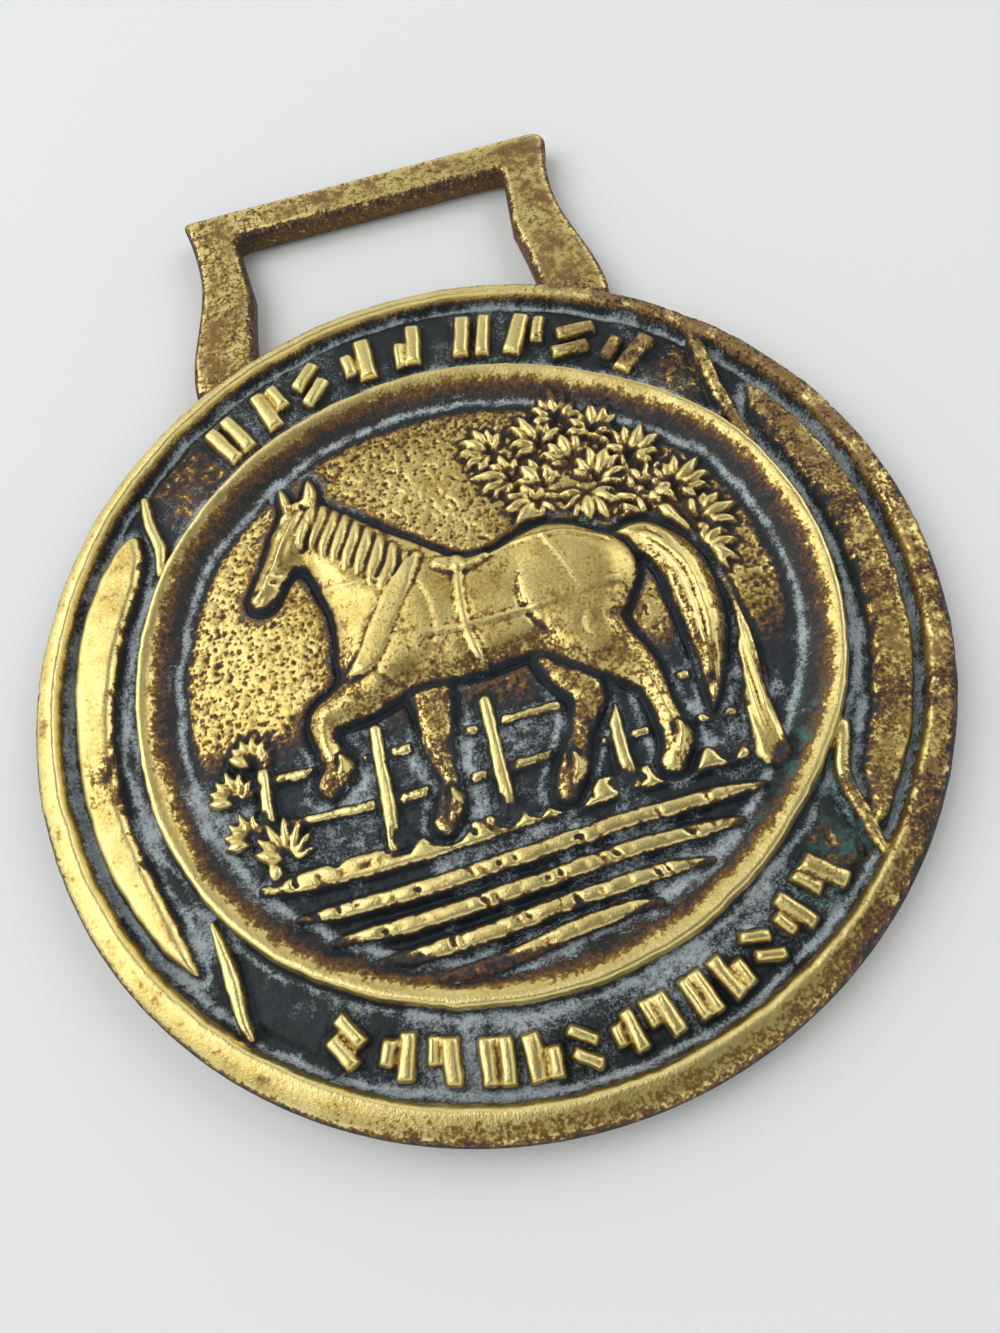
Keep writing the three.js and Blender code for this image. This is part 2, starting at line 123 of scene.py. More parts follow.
def noise(shape, pitch, cell, seed):
    """Smooth value noise from -1 to 1 with cells of the given size."""
    rng = np.random.RandomState(seed)
    rows, cols = shape
    coarse = rng.uniform(-1, 1, (int(rows * pitch / cell) + 3, int(cols * pitch / cell) + 3))

    def axis(count):
        t = np.arange(count) * pitch / cell
        k = t.astype(int)
        f = t - k
        return k, (f * f * (3 - 2 * f)).astype(np.float32)

    i, fi = axis(rows)
    j, fj = axis(cols)
    coarse = coarse.astype(np.float32)
    strip = coarse[i] * (1 - fi)[:, None] + coarse[i + 1] * fi[:, None]
    return strip[:, j] * (1 - fj) + strip[:, j + 1] * fj


def fractal(shape, pitch, cell, seed, octaves=3):
    """Noise with finer and fainter layers added."""
    return sum(noise(shape, pitch, cell / 2 ** k, seed + k) / 2 ** k for k in range(octaves)) / 1.5


def blur(grid, sigma):
    """Three box passes; sigma is in grid steps."""
    n = max(1, int(math.sqrt(4 * sigma ** 2 + 1)) // 2)
    for _ in range(3):
        for axis in (0, 1):
            pad = [(n + 1, n) if k == axis else (0, 0) for k in (0, 1)]
            total = np.cumsum(np.pad(grid, pad, mode="edge"), axis=axis, dtype=np.float64)
            width = 2 * n + 1
            grid = (total[width:] - total[:-width]) if axis == 0 else (total[:, width:] - total[:, :-width])
            grid = (grid / width).astype(np.float32)
    return grid


def smooth_line(points, per=6, closed=False):
    """Catmull-Rom through points of any number of components."""
    p = np.array(points, float)
    if closed:
        a = np.vstack([p[-1:], p, p[:2]])
    elif len(p) == 2:
        return p
    else:
        a = np.vstack([2 * p[0] - p[1], p, 2 * p[-1] - p[-2]])
    t = np.linspace(0, 1, per, endpoint=False)[:, None]
    out = []
    for k in range(1, len(a) - 2):
        p0, p1, p2, p3 = a[k - 1:k + 3]
        out.append(0.5 * (2 * p1 + (p2 - p0) * t + (2 * p0 - 5 * p1 + 4 * p2 - p3) * t ** 2
                          + (3 * p1 - p0 - 3 * p2 + p3) * t ** 3))
    if not closed:
        out.append(p[-1:])
    return np.vstack(out)


def quarter(depth, width):
    """0 at an edge, rising in a quarter round to 1 at `width` inside it."""
    u = np.clip(depth / width, 0, 1)
    return np.sqrt(np.maximum(1 - (1 - u) ** 2, 0))


def step(x, lo, hi):
    """A smooth step from 0 at lo to 1 at hi."""
    u = np.clip((x - lo) / (hi - lo), 0, 1)
    return u * u * (3 - 2 * u)


def soft_min(a, b, k):
    """The smaller of two distances, rounded where they meet."""
    h = np.clip(0.5 + 0.5 * (b - a) / k, 0, 1)
    return b + (a - b) * h - k * h * (1 - h)


def swept(c, circles, margin=2.5):
    """The window and the distance (negative inside) to a form swept along circles (x, y, radius)."""
    s = smooth_line([q[:3] for q in circles])
    s[:, 2] = np.maximum(s[:, 2], 0.02)
    reach = s[:, 2].max() + margin
    w = c.window(s[:, 0].min() - reach, s[:, 0].max() + reach, s[:, 1].min() - reach, s[:, 1].max() + reach)
    X, Y = c.X[w], c.Y[w]
    D = np.full(X.shape, FAR_AWAY, np.float32)
    for (ax, ay, ar), (bx, by, br) in zip(s[:-1], s[1:]):
        dx, dy = bx - ax, by - ay
        t = np.clip(((X - ax) * dx + (Y - ay) * dy) / (dx * dx + dy * dy + 1e-9), 0, 1)
        D = np.minimum(D, np.hypot(X - ax - t * dx, Y - ay - t * dy) - (ar + t * (br - ar)))
    return w, D


def polygon(X, Y, corners):
    """The distance (negative inside) to a closed outline."""
    best = np.full(X.shape, 1e6, np.float32)
    inside = np.zeros(X.shape, bool)
    p = np.array(corners, np.float32)
    for (ax, ay), (bx, by) in zip(p, np.roll(p, -1, 0)):
        dx, dy = bx - ax, by - ay
        t = np.clip(((X - ax) * dx + (Y - ay) * dy) / (dx * dx + dy * dy + 1e-9), 0, 1)
        best = np.minimum(best, (X - ax - t * dx) ** 2 + (Y - ay - t * dy) ** 2)
        crosses = (ay > Y) != (by > Y)
        if dy != 0:
            inside ^= crosses & (X < ax + (Y - ay) * dx / dy)
    return np.where(inside, -1, 1) * np.sqrt(best)


def together(c, forms, blend):
    """One distance field over the whole canvas for several swept forms, run into each other."""
    D = np.full(c.X.shape, FAR_AWAY, np.float32)
    for form in forms:
        w, d = swept(c, form)
        D[w] = soft_min(D[w], d, blend)
    return D


def lay(c, circles, base, lift, edge, groove=0.25, reach=0.4):
    """A rounded form that stands on the ground, with a cut line round it."""
    w, d = swept(c, circles, 1.5)
    old = c.Z[w]
    moat = old - groove * np.exp(-(np.maximum(d, 0) / reach) ** 2) * (old > base - 0.3)
    c.Z[w] = np.where(d < 0, np.maximum(np.minimum(old, base), base + lift * quarter(-d, edge)), moat)


def block(c, start, end, half_width, base, lift, edge):
    """A stroke with square ends that stands on the ground."""
    (ax, ay), (bx, by) = start, end
    reach = math.hypot(bx - ax, by - ay) / 2 + half_width + 1.5
    mx, my = (ax + bx) / 2, (ay + by) / 2
    w = c.window(mx - reach, mx + reach, my - reach, my + reach)
    turn = math.atan2(by - ay, bx - ax)
    corner = 0.25
    u = (c.X[w] - mx) * math.cos(turn) + (c.Y[w] - my) * math.sin(turn)
    v = -(c.X[w] - mx) * math.sin(turn) + (c.Y[w] - my) * math.cos(turn)
    du = np.abs(u) - (math.hypot(bx - ax, by - ay) / 2 + half_width * 0.9 - corner)
    dv = np.abs(v) - (half_width - corner)
    d = np.hypot(np.maximum(du, 0), np.maximum(dv, 0)) + np.minimum(np.maximum(du, dv), 0) - corner
    old = c.Z[w]
    moat = old - 0.2 * np.exp(-(np.maximum(d, 0) / 0.35) ** 2) * (old > base - 0.3)
    c.Z[w] = np.where(d < 0, np.maximum(np.minimum(old, base), base + lift * quarter(-d, edge)), moat)


def over(c, circles, rise, edge, groove, reach, mask=None):
    """Adds a strap or lock to whatever is under it, with a cut line round it."""
    w, d = swept(c, circles, 1.0)
    moat = groove * np.exp(-(np.maximum(d, 0) / reach) ** 2) * (d > -0.02)
    add = rise * quarter(-d, edge) * (d < 0) - moat
    c.Z[w] += add if mask is None else add * mask[w]


def cut(c, circles, depth, mask=None):
    """A cut line."""
    w, d = swept(c, circles, 1.0)
    add = -depth * quarter(-d, 0.25) * (d < 0)
    c.Z[w] += add if mask is None else add * mask[w]


def dome(c, x, y, rx, ry, turn, lift, mask=None):
    """A soft oval swelling, or a hollow where lift is below 0."""
    r = max(rx, ry)
    w = c.window(x - r, x + r, y - r, y + r)
    a = math.radians(turn)
    u = (c.X[w] - x) * math.cos(a) + (c.Y[w] - y) * math.sin(a)
    v = -(c.X[w] - x) * math.sin(a) + (c.Y[w] - y) * math.cos(a)
    q = np.clip(1 - (u / rx) ** 2 - (v / ry) ** 2, 0, 1)
    add = lift * q * q * (3 - 2 * q)
    c.Z[w] += add if mask is None else add * mask[w]


def polar(degrees, radius):
    """The plan point at this angle and radius."""
    a = math.radians(degrees)
    return radius * math.cos(a), radius * math.sin(a)


def bezier(points):
    """Points along a Bezier curve with these control points."""
    count = 16
    p = np.array(points, float)
    t = np.linspace(0, 1, count)[:, None]
    curve = [np.repeat(q[None], count, 0) for q in p]
    while len(curve) > 1:
        curve = [a * (1 - t) + b * t for a, b in zip(curve[:-1], curve[1:])]
    return curve[0]


# ---------------------------------------------------------------- outline

def loop_outline():
    """The loop's outer edge: waisted sides and slightly flared top corners."""
    right = np.vstack([
        bezier([(21.5, 34), (22.1, 39.5), (19.4, 44), (19.4, 49.5)]),
        bezier([(19.4, 49.5), (19.4, 53), (20.4, LOOP_TOP_Y - 1.7)]),
        bezier([(20.4, LOOP_TOP_Y - 1.7), (20.4, LOOP_TOP_Y), (18.7, LOOP_TOP_Y)]),
    ])
    left = np.vstack([
        bezier([(-19.7, LOOP_TOP_Y), (-20.4, LOOP_TOP_Y), (-20.4, LOOP_TOP_Y - 0.7)]),
        bezier([(-20.4, LOOP_TOP_Y - 0.7), (-19.4, 53), (-19.4, 49.5)]),
        bezier([(-19.4, 49.5), (-19.4, 44), (-22.1, 39.5), (-21.5, 34)]),
    ])
    return np.vstack([right, left])


def slot_outline():
    """The opening for the strap. Its lower edge lies under the plate."""
    half = np.vstack([
        bezier([(15.1, 35), (15.1, 40), (14.2, 46)]),
        bezier([(14.2, 46), (14.6, 50), (14.9, 53.2)]),
        bezier([(14.9, 53.2), (14.9, 54), (14.1, 54)]),
    ])
    return np.vstack([half, half[::-1] * [-1, 1]])


def outline_distance(X, Y):
    """Distance to the casting's plan outline, and to the loop alone."""
    loop = np.maximum(polygon(X, Y, loop_outline()), -polygon(X, Y, slot_outline()))
    disc = np.hypot(X, Y) - (DISC - 0.02)
    return np.minimum(disc, loop), loop


# ---------------------------------------------------------------- border

# The plan of the border is in polar points: (degrees, radius), with a half-width on the bars
RING_OUTER = [
    (0, 32.0), (25, 32.05), (42, 31.2), (55, 30.4), (80, 30.05), (105, 30.2), (130, 30.7), (150, 31.1),
    (180, 31.0), (205, 31.35), (225, 31.3), (245, 30.75), (270, 30.5), (305, 30.5), (320, 30.65),
    (340, 31.6),
]
LEFT_CRESCENT = [
    (149, 33.4), (155, 32.65), (165, 32.6), (178, 32.8), (190, 33.0), (202, 33.2), (210, 33.7), (215, 34.4),
    (218.8, 35.5), (213, 36.2), (202, 36.45), (188, 36.55), (176, 36.65), (165, 37.05), (155, 37.1),
    (148, 36.6), (145.5, 35.4),
]
RIGHT_CRESCENT = [
    (32, 36.4), (26, 36.85), (12, 36.85), (-4, 36.85), (-18, 36.85), (-30, 36.75), (-40.5, 36.4),
    (-38, 34.5), (-33, 33.25), (-22, 33.1), (-10, 33.1), (2, 33.1), (14, 33.1), (25, 33.3), (30, 34.8),
]
BARS = [
    [(139.8, 36.8, 0.6), (142.5, 35.2, 0.7), (145.5, 33.2, 0.75), (147.5, 32.1, 0.75), (151, 31.2, 0.6)],
    [(43.5, 38.2, 0.8), (40.5, 36.6, 0.85), (37, 35.0, 0.85), (33, 33.6, 0.85), (28, 32.5, 0.75),
     (24, 32.0, 0.6)],
    [(-43.5, 37.0, 0.6), (-41, 35.2, 0.8), (-38.5, 33.4, 0.85), (-35.5, 32.1, 0.85), (-29, 31.4, 0.7)],
    [(229, 36.7, 0.4), (226.5, 35.9, 0.7), (222, 33.9, 0.75), (217, 32.4, 0.6), (214.8, 31.9, 0.4)],
]
# Cells of the two rows of strokes: (degrees, degrees)
TOP_CELLS = [(127, 120.5), (118, 112), (110.5, 104), (101, 95), (92, 86.5),
             (82, 74.5), (73, 66), (65, 57), (55.5, 47.5)]
BOTTOM_CELLS = [(237.5, 243), (245, 250), (251, 256), (257.5, 262.5), (263, 268), (269, 273.5), (275, 279),
                (279.5, 284), (285, 289), (289.5, 294), (295, 299.5), (300.5, 305), (306.5, 312)]
TOP_ROW = (31.3, 36.5)
BOTTOM_ROW = (32.0, 36.2)
# Each mark's strokes: (u, v, u, v, half-width), along and across the row, from -1 to 1 over the cell
MARKS = [
    [(-0.62, -1.0, -0.5, 1.0, 0.84), (0.55, -1.0, 0.62, 1.0, 0.78)],
    [(-0.5, -1.0, -0.25, 1.0, 0.94), (0.78, -0.1, 0.78, 0.9, 0.72)],
    [(-0.6, 0.3, 0.55, 0.95, 0.74), (-0.6, -0.95, 0.6, -0.3, 0.74)],
    [(0.25, -1.0, 0.5, 1.0, 0.94), (-0.82, -0.4, -0.78, 0.4, 0.72)],
    [(-0.82, -0.95, -0.7, 0.05, 0.72), (0.2, -1.0, 0.5, 1.0, 0.9)],
]


def ring_distance(X, Y):
    """Distance outwards from the ring's crest; the ring bulges a little at its two sides."""
    start = RING_OUTER[0]
    edge = smooth_line(RING_OUTER + [(start[0] + 360, start[1])], 6)
    degrees = np.degrees(np.arctan2(Y, X)) % 360
    return (np.hypot(X, Y) - np.interp(degrees, edge[:, 0], edge[:, 1]) + RING_CREST).astype(np.float32)


def rim_edge(angle):
    """The radius of the rim's inner edge."""
    return WELL_RADIUS + WELL_SHIFT * np.sin(angle)


def stroke_row(c, cells, inner, outer, first):
    """A row of marks, one to a cell, thinner in the narrow cells."""
    for k, (start, end) in enumerate(cells):
        middle, half = (start + end) / 2, (end - start) / 2
        narrow = min(1.0, abs(half) / 3.0)
        for u0, v0, u1, v1, width in MARKS[(k + first) % len(MARKS)]:
            inset = (outer - inner) / 2 - width
            ends = [polar(middle + half * u * 0.85, (inner + outer) / 2 + inset * v)
                    for u, v in ((u0, v0), (u1, v1))]
            block(c, *ends, width * narrow + 0.1, FIELD - 0.15, 1.25, 0.5)


def border(c):
    """Rim, ring, crescents, bars and the two rows of strokes."""
    X, Y = c.X, c.Y
    rim_inner = rim_edge(np.arctan2(Y, X))
    t = (np.hypot(X, Y) - rim_inner) / (DISC - rim_inner)
    c.Z[...] = np.interp(t, [-1.0, -0.62, -0.5, -0.16, 0.0, 0.06, 0.2, 0.5, 0.8, 0.94, 1.0],
                         [FIELD, FIELD - 0.05, GROOVE, GROOVE, 2.8, 3.08, RIM_TOP, 3.1, 2.9, 2.6, WALL_TOP])
    ring = ring_distance(X, Y)
    flank = np.interp(ring, [-3.4, -2.7, -2.1, -1.5, -0.8, -0.3, 0.05, 0.35, 0.55, 0.75, 1.6],
                      [1.3, 1.5, 1.85, 2.35, 2.85, 3.05, RING_TOP, 3.0, 2.3, 1.4, FIELD])
    c.Z = np.where(ring < 1.6, flank, c.Z).astype(np.float32)
    for corners, round_off in ((LEFT_CRESCENT, 1.0), (RIGHT_CRESCENT, 0.7)):
        points = [polar(a, q) for a, q in smooth_line(corners, 5, closed=True)]
        d = polygon(X, Y, points)
        c.crescent = np.minimum(c.crescent, d)
        z = FIELD - 0.05 + 1.15 * quarter(-d, round_off) + 0.06 * fractal(c.X.shape, PITCH, 1.5, SEED + 3)
        moat = 0.22 * np.exp(-(np.maximum(d, 0) / 0.5) ** 2) * (c.Z < 2)
        c.Z = np.where(d < 0, z, c.Z - moat).astype(np.float32)
    for bar in BARS:
        circles = [(*polar(a, q), h) for a, q, h in bar]
        w, d = swept(c, circles, 1.5)
        z = FIELD - 0.1 + 1.0 * quarter(-d, 0.6)
        moat = 0.25 * np.exp(-(d / 0.45) ** 2) * (c.Z[w] < 2.2)
        c.Z[w] = np.where(d < 0, np.maximum(z, c.Z[w]), c.Z[w] - moat)
    stroke_row(c, TOP_CELLS, *TOP_ROW, 0)
    stroke_row(c, BOTTOM_CELLS, *BOTTOM_ROW, 2)


# ---------------------------------------------------------------- roundel

# The horse's forms are swept along circles: (x, y, radius)
FAR_LEGS = [
    [(-5.2, -0.5, 2.7), (-4.9, -4.5, 1.95), (-5.2, -8.3, 1.6), (-4.9, -11.2, 1.05), (-5.2, -13.2, 1.35),
     (-6.0, -14.8, 1.3)],
    [(7.2, -0.5, 3.2), (7.0, -4.0, 2.3), (8.2, -6.9, 1.65), (6.6, -10.4, 1.15), (5.4, -12.9, 1.4),
     (4.3, -14.7, 1.25)],
]
NEAR_BODY = [
    [(-5.4, 3.6, 6.3), (-1.5, 3.0, 5.9), (3.0, 3.2, 5.7), (8.6, 4.4, 5.7)],
    [(8.6, 4.6, 5.5), (12.0, 4.4, 3.9)],
    [(-4.8, 5.2, 6.2), (-7.9, 9.2, 5.0), (-10.4, 13.2, 3.7), (-12.4, 16.2, 2.5)],
    [(-8.0, 3.8, 4.6), (-9.1, 1.8, 3.5)],
    [(-7.2, 1.6, 3.6), (-9.4, -1.0, 2.8), (-12.1, -2.4, 2.0), (-14.4, -3.3, 1.6), (-14.5, -5.9, 1.1),
     (-13.8, -7.9, 1.4), (-14.9, -9.3, 1.3)],
    [(9.4, 3.2, 5.4), (9.0, 0.0, 4.2), (11.0, -3.2, 2.8), (13.2, -6.1, 1.8), (13.9, -9.4, 1.2),
     (14.3, -12.6, 1.45), (13.4, -14.5, 1.3)],
    [(-13.4, 16.9, 2.45), (-14.6, 15.0, 2.3), (-16.5, 12.6, 1.6), (-18.2, 9.9, 1.4)],
    [(-13.6, 14.9, 2.1), (-14.2, 14.2, 1.6)],
]
EARS = [
    [(-12.4, 18.6, 0.85), (-12.0, 20.1, 0.7), (-12.1, 21.5, 0.12)],
    [(-14.5, 18.6, 0.7), (-14.7, 20.1, 0.55), (-15.1, 21.3, 0.12)],
]
TAIL = [(14.0, 6.6, 1.2), (16.8, 6.5, 1.7), (19.0, 3.6, 2.2), (19.6, -0.6, 2.3), (19.4, -5.0, 1.8),
        (18.6, -8.6, 1.0), (17.9, -11.0, 0.3)]
# Muscles: (x, y, half-length, half-width, turn in degrees, height)
MUSCLES = [
    (9.6, 4.2, 5.8, 6.0, 20, 0.5), (-6.4, 4.0, 4.8, 6.6, -30, 0.42), (0.5, 2.4, 8.5, 5.4, 0, 0.35),
    (9.6, -0.6, 4.0, 5.0, -30, 0.25), (-8.8, 10.4, 3.6, 7.0, 35, 0.3), (-14.4, 15.2, 2.6, 3.0, -30, 0.3),
    (-8.8, 0.2, 3.4, 3.4, 0, 0.2),
]
# Cut lines on the body, each with its depth
BODY_CUTS = [
    ([(-4.0, -0.2, 0.05), (-3.4, 2.5, 0.35), (-3.6, 5.5, 0.3), (-4.8, 8.4, 0.05)], 0.16),
    ([(5.4, 6.6, 0.05), (4.6, 3.4, 0.35), (5.4, 0.6, 0.3), (6.9, -1.4, 0.05)], 0.2),
    ([(10.9, 1.2, 0.05), (9.2, -0.9, 0.3), (10.2, -3.0, 0.05)], 0.12),
    ([(-9.9, 0.6, 0.1), (-7.8, -1.8, 0.3), (-5.6, -2.6, 0.1)], 0.2),
    ([(-14.6, 13.3, 0.12), (-13.3, 13.7, 0.2), (-12.6, 15.2, 0.22), (-12.9, 16.8, 0.12)], 0.35),
    ([(-19.3, 9.1, 0.16), (-18.3, 9.6, 0.16), (-17.4, 10.3, 0.08)], 0.35),
]
# Straps of the harness, each with its height
STRAPS = [
    ([(-8.0, 2.4, 0.3), (-1.0, 1.6, 0.3), (6.0, 1.7, 0.3), (13.8, 2.6, 0.3)], 0.24),
    ([(2.4, 8.3, 0.25), (6.0, 8.8, 0.25), (10.0, 8.4, 0.25), (13.8, 6.8, 0.25)], 0.22),
    ([(8.0, 8.7, 0.25), (9.2, 5.6, 0.25), (10.4, 2.1, 0.25)], 0.22),
    ([(-13.2, 17.6, 0.25), (-15.0, 15.0, 0.25), (-16.6, 12.2, 0.25), (-17.6, 11.0, 0.3)], 0.22),
    ([(-18.3, 12.6, 0.25), (-16.9, 11.6, 0.25), (-15.6, 11.3, 0.25)], 0.22),
    ([(-17.4, 10.9, 0.2), (-13.5, 9.0, 0.2), (-9.0, 8.6, 0.2), (-5.6, 8.0, 0.2)], 0.2),
]
COLLAR = [(-3.4, 9.9, 0.5), (-5.6, 7.0, 0.95), (-7.8, 3.6, 1.05), (-9.6, 0.8, 0.95), (-11.4, -0.1, 0.45)]
GIRTH = [(0.2, -2.7, 0.42), (-0.4, 0.5, 0.45), (-0.5, 4.0, 0.45), (0.2, 8.8, 0.5)]
SADDLE = [(-1.6, 8.6, 0.7), (0.4, 8.1, 1.1), (2.3, 8.5, 0.7)]
FORELOCK = [(-13.2, 18.9, 0.4), (-14.6, 17.9, 0.5), (-15.4, 16.9, 0.1)]
HOOVES = [(-5.2, -13.0), (5.4, -12.7), (-13.7, -7.8), (14.3, -12.4)]

# Leaf clusters: (x, y, direction of the fan in degrees). Shrubs: (x, y, leaf length, lean in degrees)
LEAF_CLUSTERS = [
    (9.5, 14.6, 130), (12.8, 16.6, 95), (6.6, 16.0, 160), (10.2, 19.4, 110), (15.6, 19.2, 75),
    (14.8, 14.0, 60), (18.4, 15.6, 50), (19.2, 11.4, 20), (21.4, 11.0, 40), (22.6, 6.8, 10),
    (5.4, 19.6, 145), (17.6, 8.0, 190), (12.6, 21.6, 85), (8.4, 12.6, 215), (13.2, 12.0, 265),
    (21.8, 3.6, 330),
]
TRUNK = [(21.4, -15.6, 1.7), (21.6, -10.8, 1.25), (22.3, -5.0, 1.05), (21.5, 1.0, 1.0), (20.4, 6.5, 0.9),
         (18.2, 11.0, 0.7), (15.5, 14.5, 0.5)]
BOUGHS = [
    [(21.3, 3.0, 0.6), (23.1, 8.0, 0.45)],
    [(19.0, 9.8, 0.55), (14.0, 11.8, 0.45), (9.5, 13.2, 0.35)],
    [(17.5, 12.0, 0.5), (17.0, 16.5, 0.4), (14.5, 19.5, 0.3)],
]
SHRUBS = [(-22.2, -12.6, 3.4, 14), (-19.6, -14.6, 4.2, -6), (-23.2, -8.8, 3.4, 6), (-21.4, -5.8, 3.1, -12)]
TUFTS = [(-15.5, -15.2), (-9.5, -15.6), (-1.0, -15.6), (1.6, -15.4), (9.0, -15.5), (18.0, -14.8)]
RAILS_Y = (-7.4, -11.5)
POSTS_X = (-20.5, -10.4, -0.6, 9.6)
GROUND_STRIP = (-15.9, 1.25)
FURROWS_Y = (-19.0, -21.4, -23.8, -26.0)
FURROW_HALF_WIDTH = 0.95
FURROW_LIFT = 1.05


def leaf(c, x, y, degrees, length, width, base, lift=0.8):
    """A pointed leaf, growing from its foot."""
    a = math.radians(degrees)
    ca, sa = math.cos(a), math.sin(a)
    circles = [(x + ca * length * t, y + sa * length * t, width / 2 * h)
               for t, h in ((0, 0.2), (0.3, 0.85), (0.55, 1.0), (1.0, 0.08))]
    lay(c, circles, base, lift, 0.42, 0.28, 0.24)


def furrow(c, y, half_width):
    """A strip of turned earth across the roundel, with clods cut in it."""
    half = math.sqrt((ROUNDEL_RADIUS - 1) ** 2 - (y - ROUNDEL_CENTRE[1]) ** 2)
    circles = [(ROUNDEL_CENTRE[0] + half * t, y + 0.8 * math.sin(2 * t), half_width * (1 - 0.45 * t ** 6))
               for t in np.linspace(-1, 1, 13)]
    lay(c, circles, GROUND - 0.1, FURROW_LIFT, 0.7, 0.2, 0.4)
    rng = np.random.RandomState(int(-10 * y))
    x = -half + 1.0
    while x < half - 1.0:
        top, bend = y + 0.8 * math.sin(2 * x / half), rng.uniform(-0.6, 0.6)
        high, low = rng.uniform(-0.2, 1.0) * half_width, rng.uniform(-1.0, 0.0) * half_width
        cut(c, [(x, top + high, 0.05), (x + 0.4 + bend, top, rng.uniform(0.1, 0.25)),
                (x + 0.8 + bend, top + low, 0.05)], rng.uniform(0.1, 0.5))
        x += rng.uniform(0.8, 2.6)


def setting(c, rng):
    """Furrows, fence, tree and shrubs."""
    furrow(c, *GROUND_STRIP)
    for y in FURROWS_Y:
        furrow(c, y, FURROW_HALF_WIDTH)
    for y in RAILS_Y:
        rail = [(-24.0, y, 0.6), (-8.0, y - 0.4, 0.65), (6.0, y + 0.1, 0.6), (21.0, y - 0.3, 0.6)]
        lay(c, rail, GROUND, 0.85, 0.4, 0.2, 0.3)
    for x in POSTS_X:
        lay(c, [(x, -15.5, 0.8), (x + 0.1, -5.4, 0.72)], GROUND, 1.0, 0.45, 0.25, 0.35)

    lay(c, TRUNK, GROUND, 1.1, 0.9)
    for k in range(5):
        x = 20.2 + 0.65 * k
        bark = [(x + 0.1, -15.2, 0.05), (x + 0.15 * k - 0.1, -10.5 + k, 0.18),
                (22.2 + 0.15 * k, -4.0 + 0.8 * k, 0.05)]
        cut(c, bark, 0.4)
    for bough in BOUGHS:
        lay(c, bough, GROUND + 0.2, 0.8, 0.5)
    for x, y, turn in LEAF_CLUSTERS:
        for i in (-3, 3, -2, 2, -1, 1, 0):
            leaf(c, x, y, turn + i * 33 + rng.uniform(-6, 6), rng.uniform(3.0, 3.7) - 0.25 * abs(i),
                 rng.uniform(1.15, 1.4), FIELD + 0.12 - 0.04 * abs(i))
    for x, y, length, lean in SHRUBS:
        for i in range(7):
            leaf(c, x, y, 90 + lean + (i - 3) * 24, length * (1.05 - 0.1 * abs(i - 3)), 1.1,
                 FIELD - 0.05 + 0.04 * i)


def tail_hair(c, tail):
    """Five locks laid along the tail."""
    on_tail = (tail < 0.1).astype(np.float32)
    for k, s in enumerate((-0.9, 0.9, -0.3, 0.5, 0.0)):
        lock = [(14.6 + 0.1 * k, 6.7 + s * 0.5, 0.3), (17.0 + s * 0.7, 6.0 + s * 0.9, 0.55),
                (19.0 + s, 3.0 + s * 0.4, 0.7), (19.5 + s * 1.1, -1.0, 0.75),
                (19.3 + s * 0.9, -5.0, 0.55), (18.6 + s * 0.5, -8.8 + 0.15 * k, 0.12)]
        over(c, lock, 0.28, 0.45, 0.22, 0.25, on_tail)


def body_detail(c, near, body):
    """Cut lines, eye, nostril, mane and forelock."""
    for line, depth in BODY_CUTS:
        cut(c, line, depth, body)
    dome(c, -18.6, 10.6, 0.5, 0.32, 40, -0.4)
    dome(c, -15.9, 15.9, 0.85, 0.6, -40, 0.3)
    dome(c, -15.95, 15.85, 0.45, 0.32, -40, -0.5)
    mane = (near < 0.6).astype(np.float32)
    for k in range(9):
        t = k / 8
        x, y = -12.2 + t * 7.6, 18.3 - t * 8.2 + 0.8 * math.sin(math.pi * t)
        lock = [(x + 0.2, y + 0.2, 0.35), (x - 0.2, y - 1.6, 0.6), (x - 1.2, y - 3.4, 0.5),
                (x - 1.5, y - 4.8 + 0.3 * (k % 2), 0.1)]
        over(c, lock, 0.3, 0.4, 0.2, 0.25, mane)
    over(c, FORELOCK, 0.3, 0.4, 0.15, 0.25)


def harness(c, near, body):
    """Collar, girth, saddle pad and straps."""
    near_mask = (near < 0.3).astype(np.float32)
    over(c, COLLAR, 0.5, 0.6, 0.25, 0.3, near_mask)
    over(c, GIRTH, 0.26, 0.3, 0.18, 0.2, near_mask)
    over(c, SADDLE, 0.4, 0.5, 0.2, 0.25, near_mask)
    for strap, rise in STRAPS:
        over(c, strap, rise, 0.25, 0.14, 0.2, body)


def hair_and_grass(c):
    """Hair round the hooves, and tufts of grass along the ground."""
    for x, y in HOOVES:
        for i in range(5):
            a = -0.25 - i * 0.36
            lock = [(x + 0.3, y + 0.8 - 0.1 * i, 0.3), (x + math.cos(a) + 0.2, y + math.sin(a) + 0.2, 0.4),
                    (x + 2.1 * math.cos(a), y + 2.2 * math.sin(a), 0.08)]
            over(c, lock, 0.3, 0.35, 0.18, 0.2)
    for x, y in TUFTS:
        for i in range(5):
            leaf(c, x, y - 0.6, 90 + (i - 2) * 22, 2.2 - 0.3 * abs(i - 2), 0.5, FIELD + 0.1, 0.4)


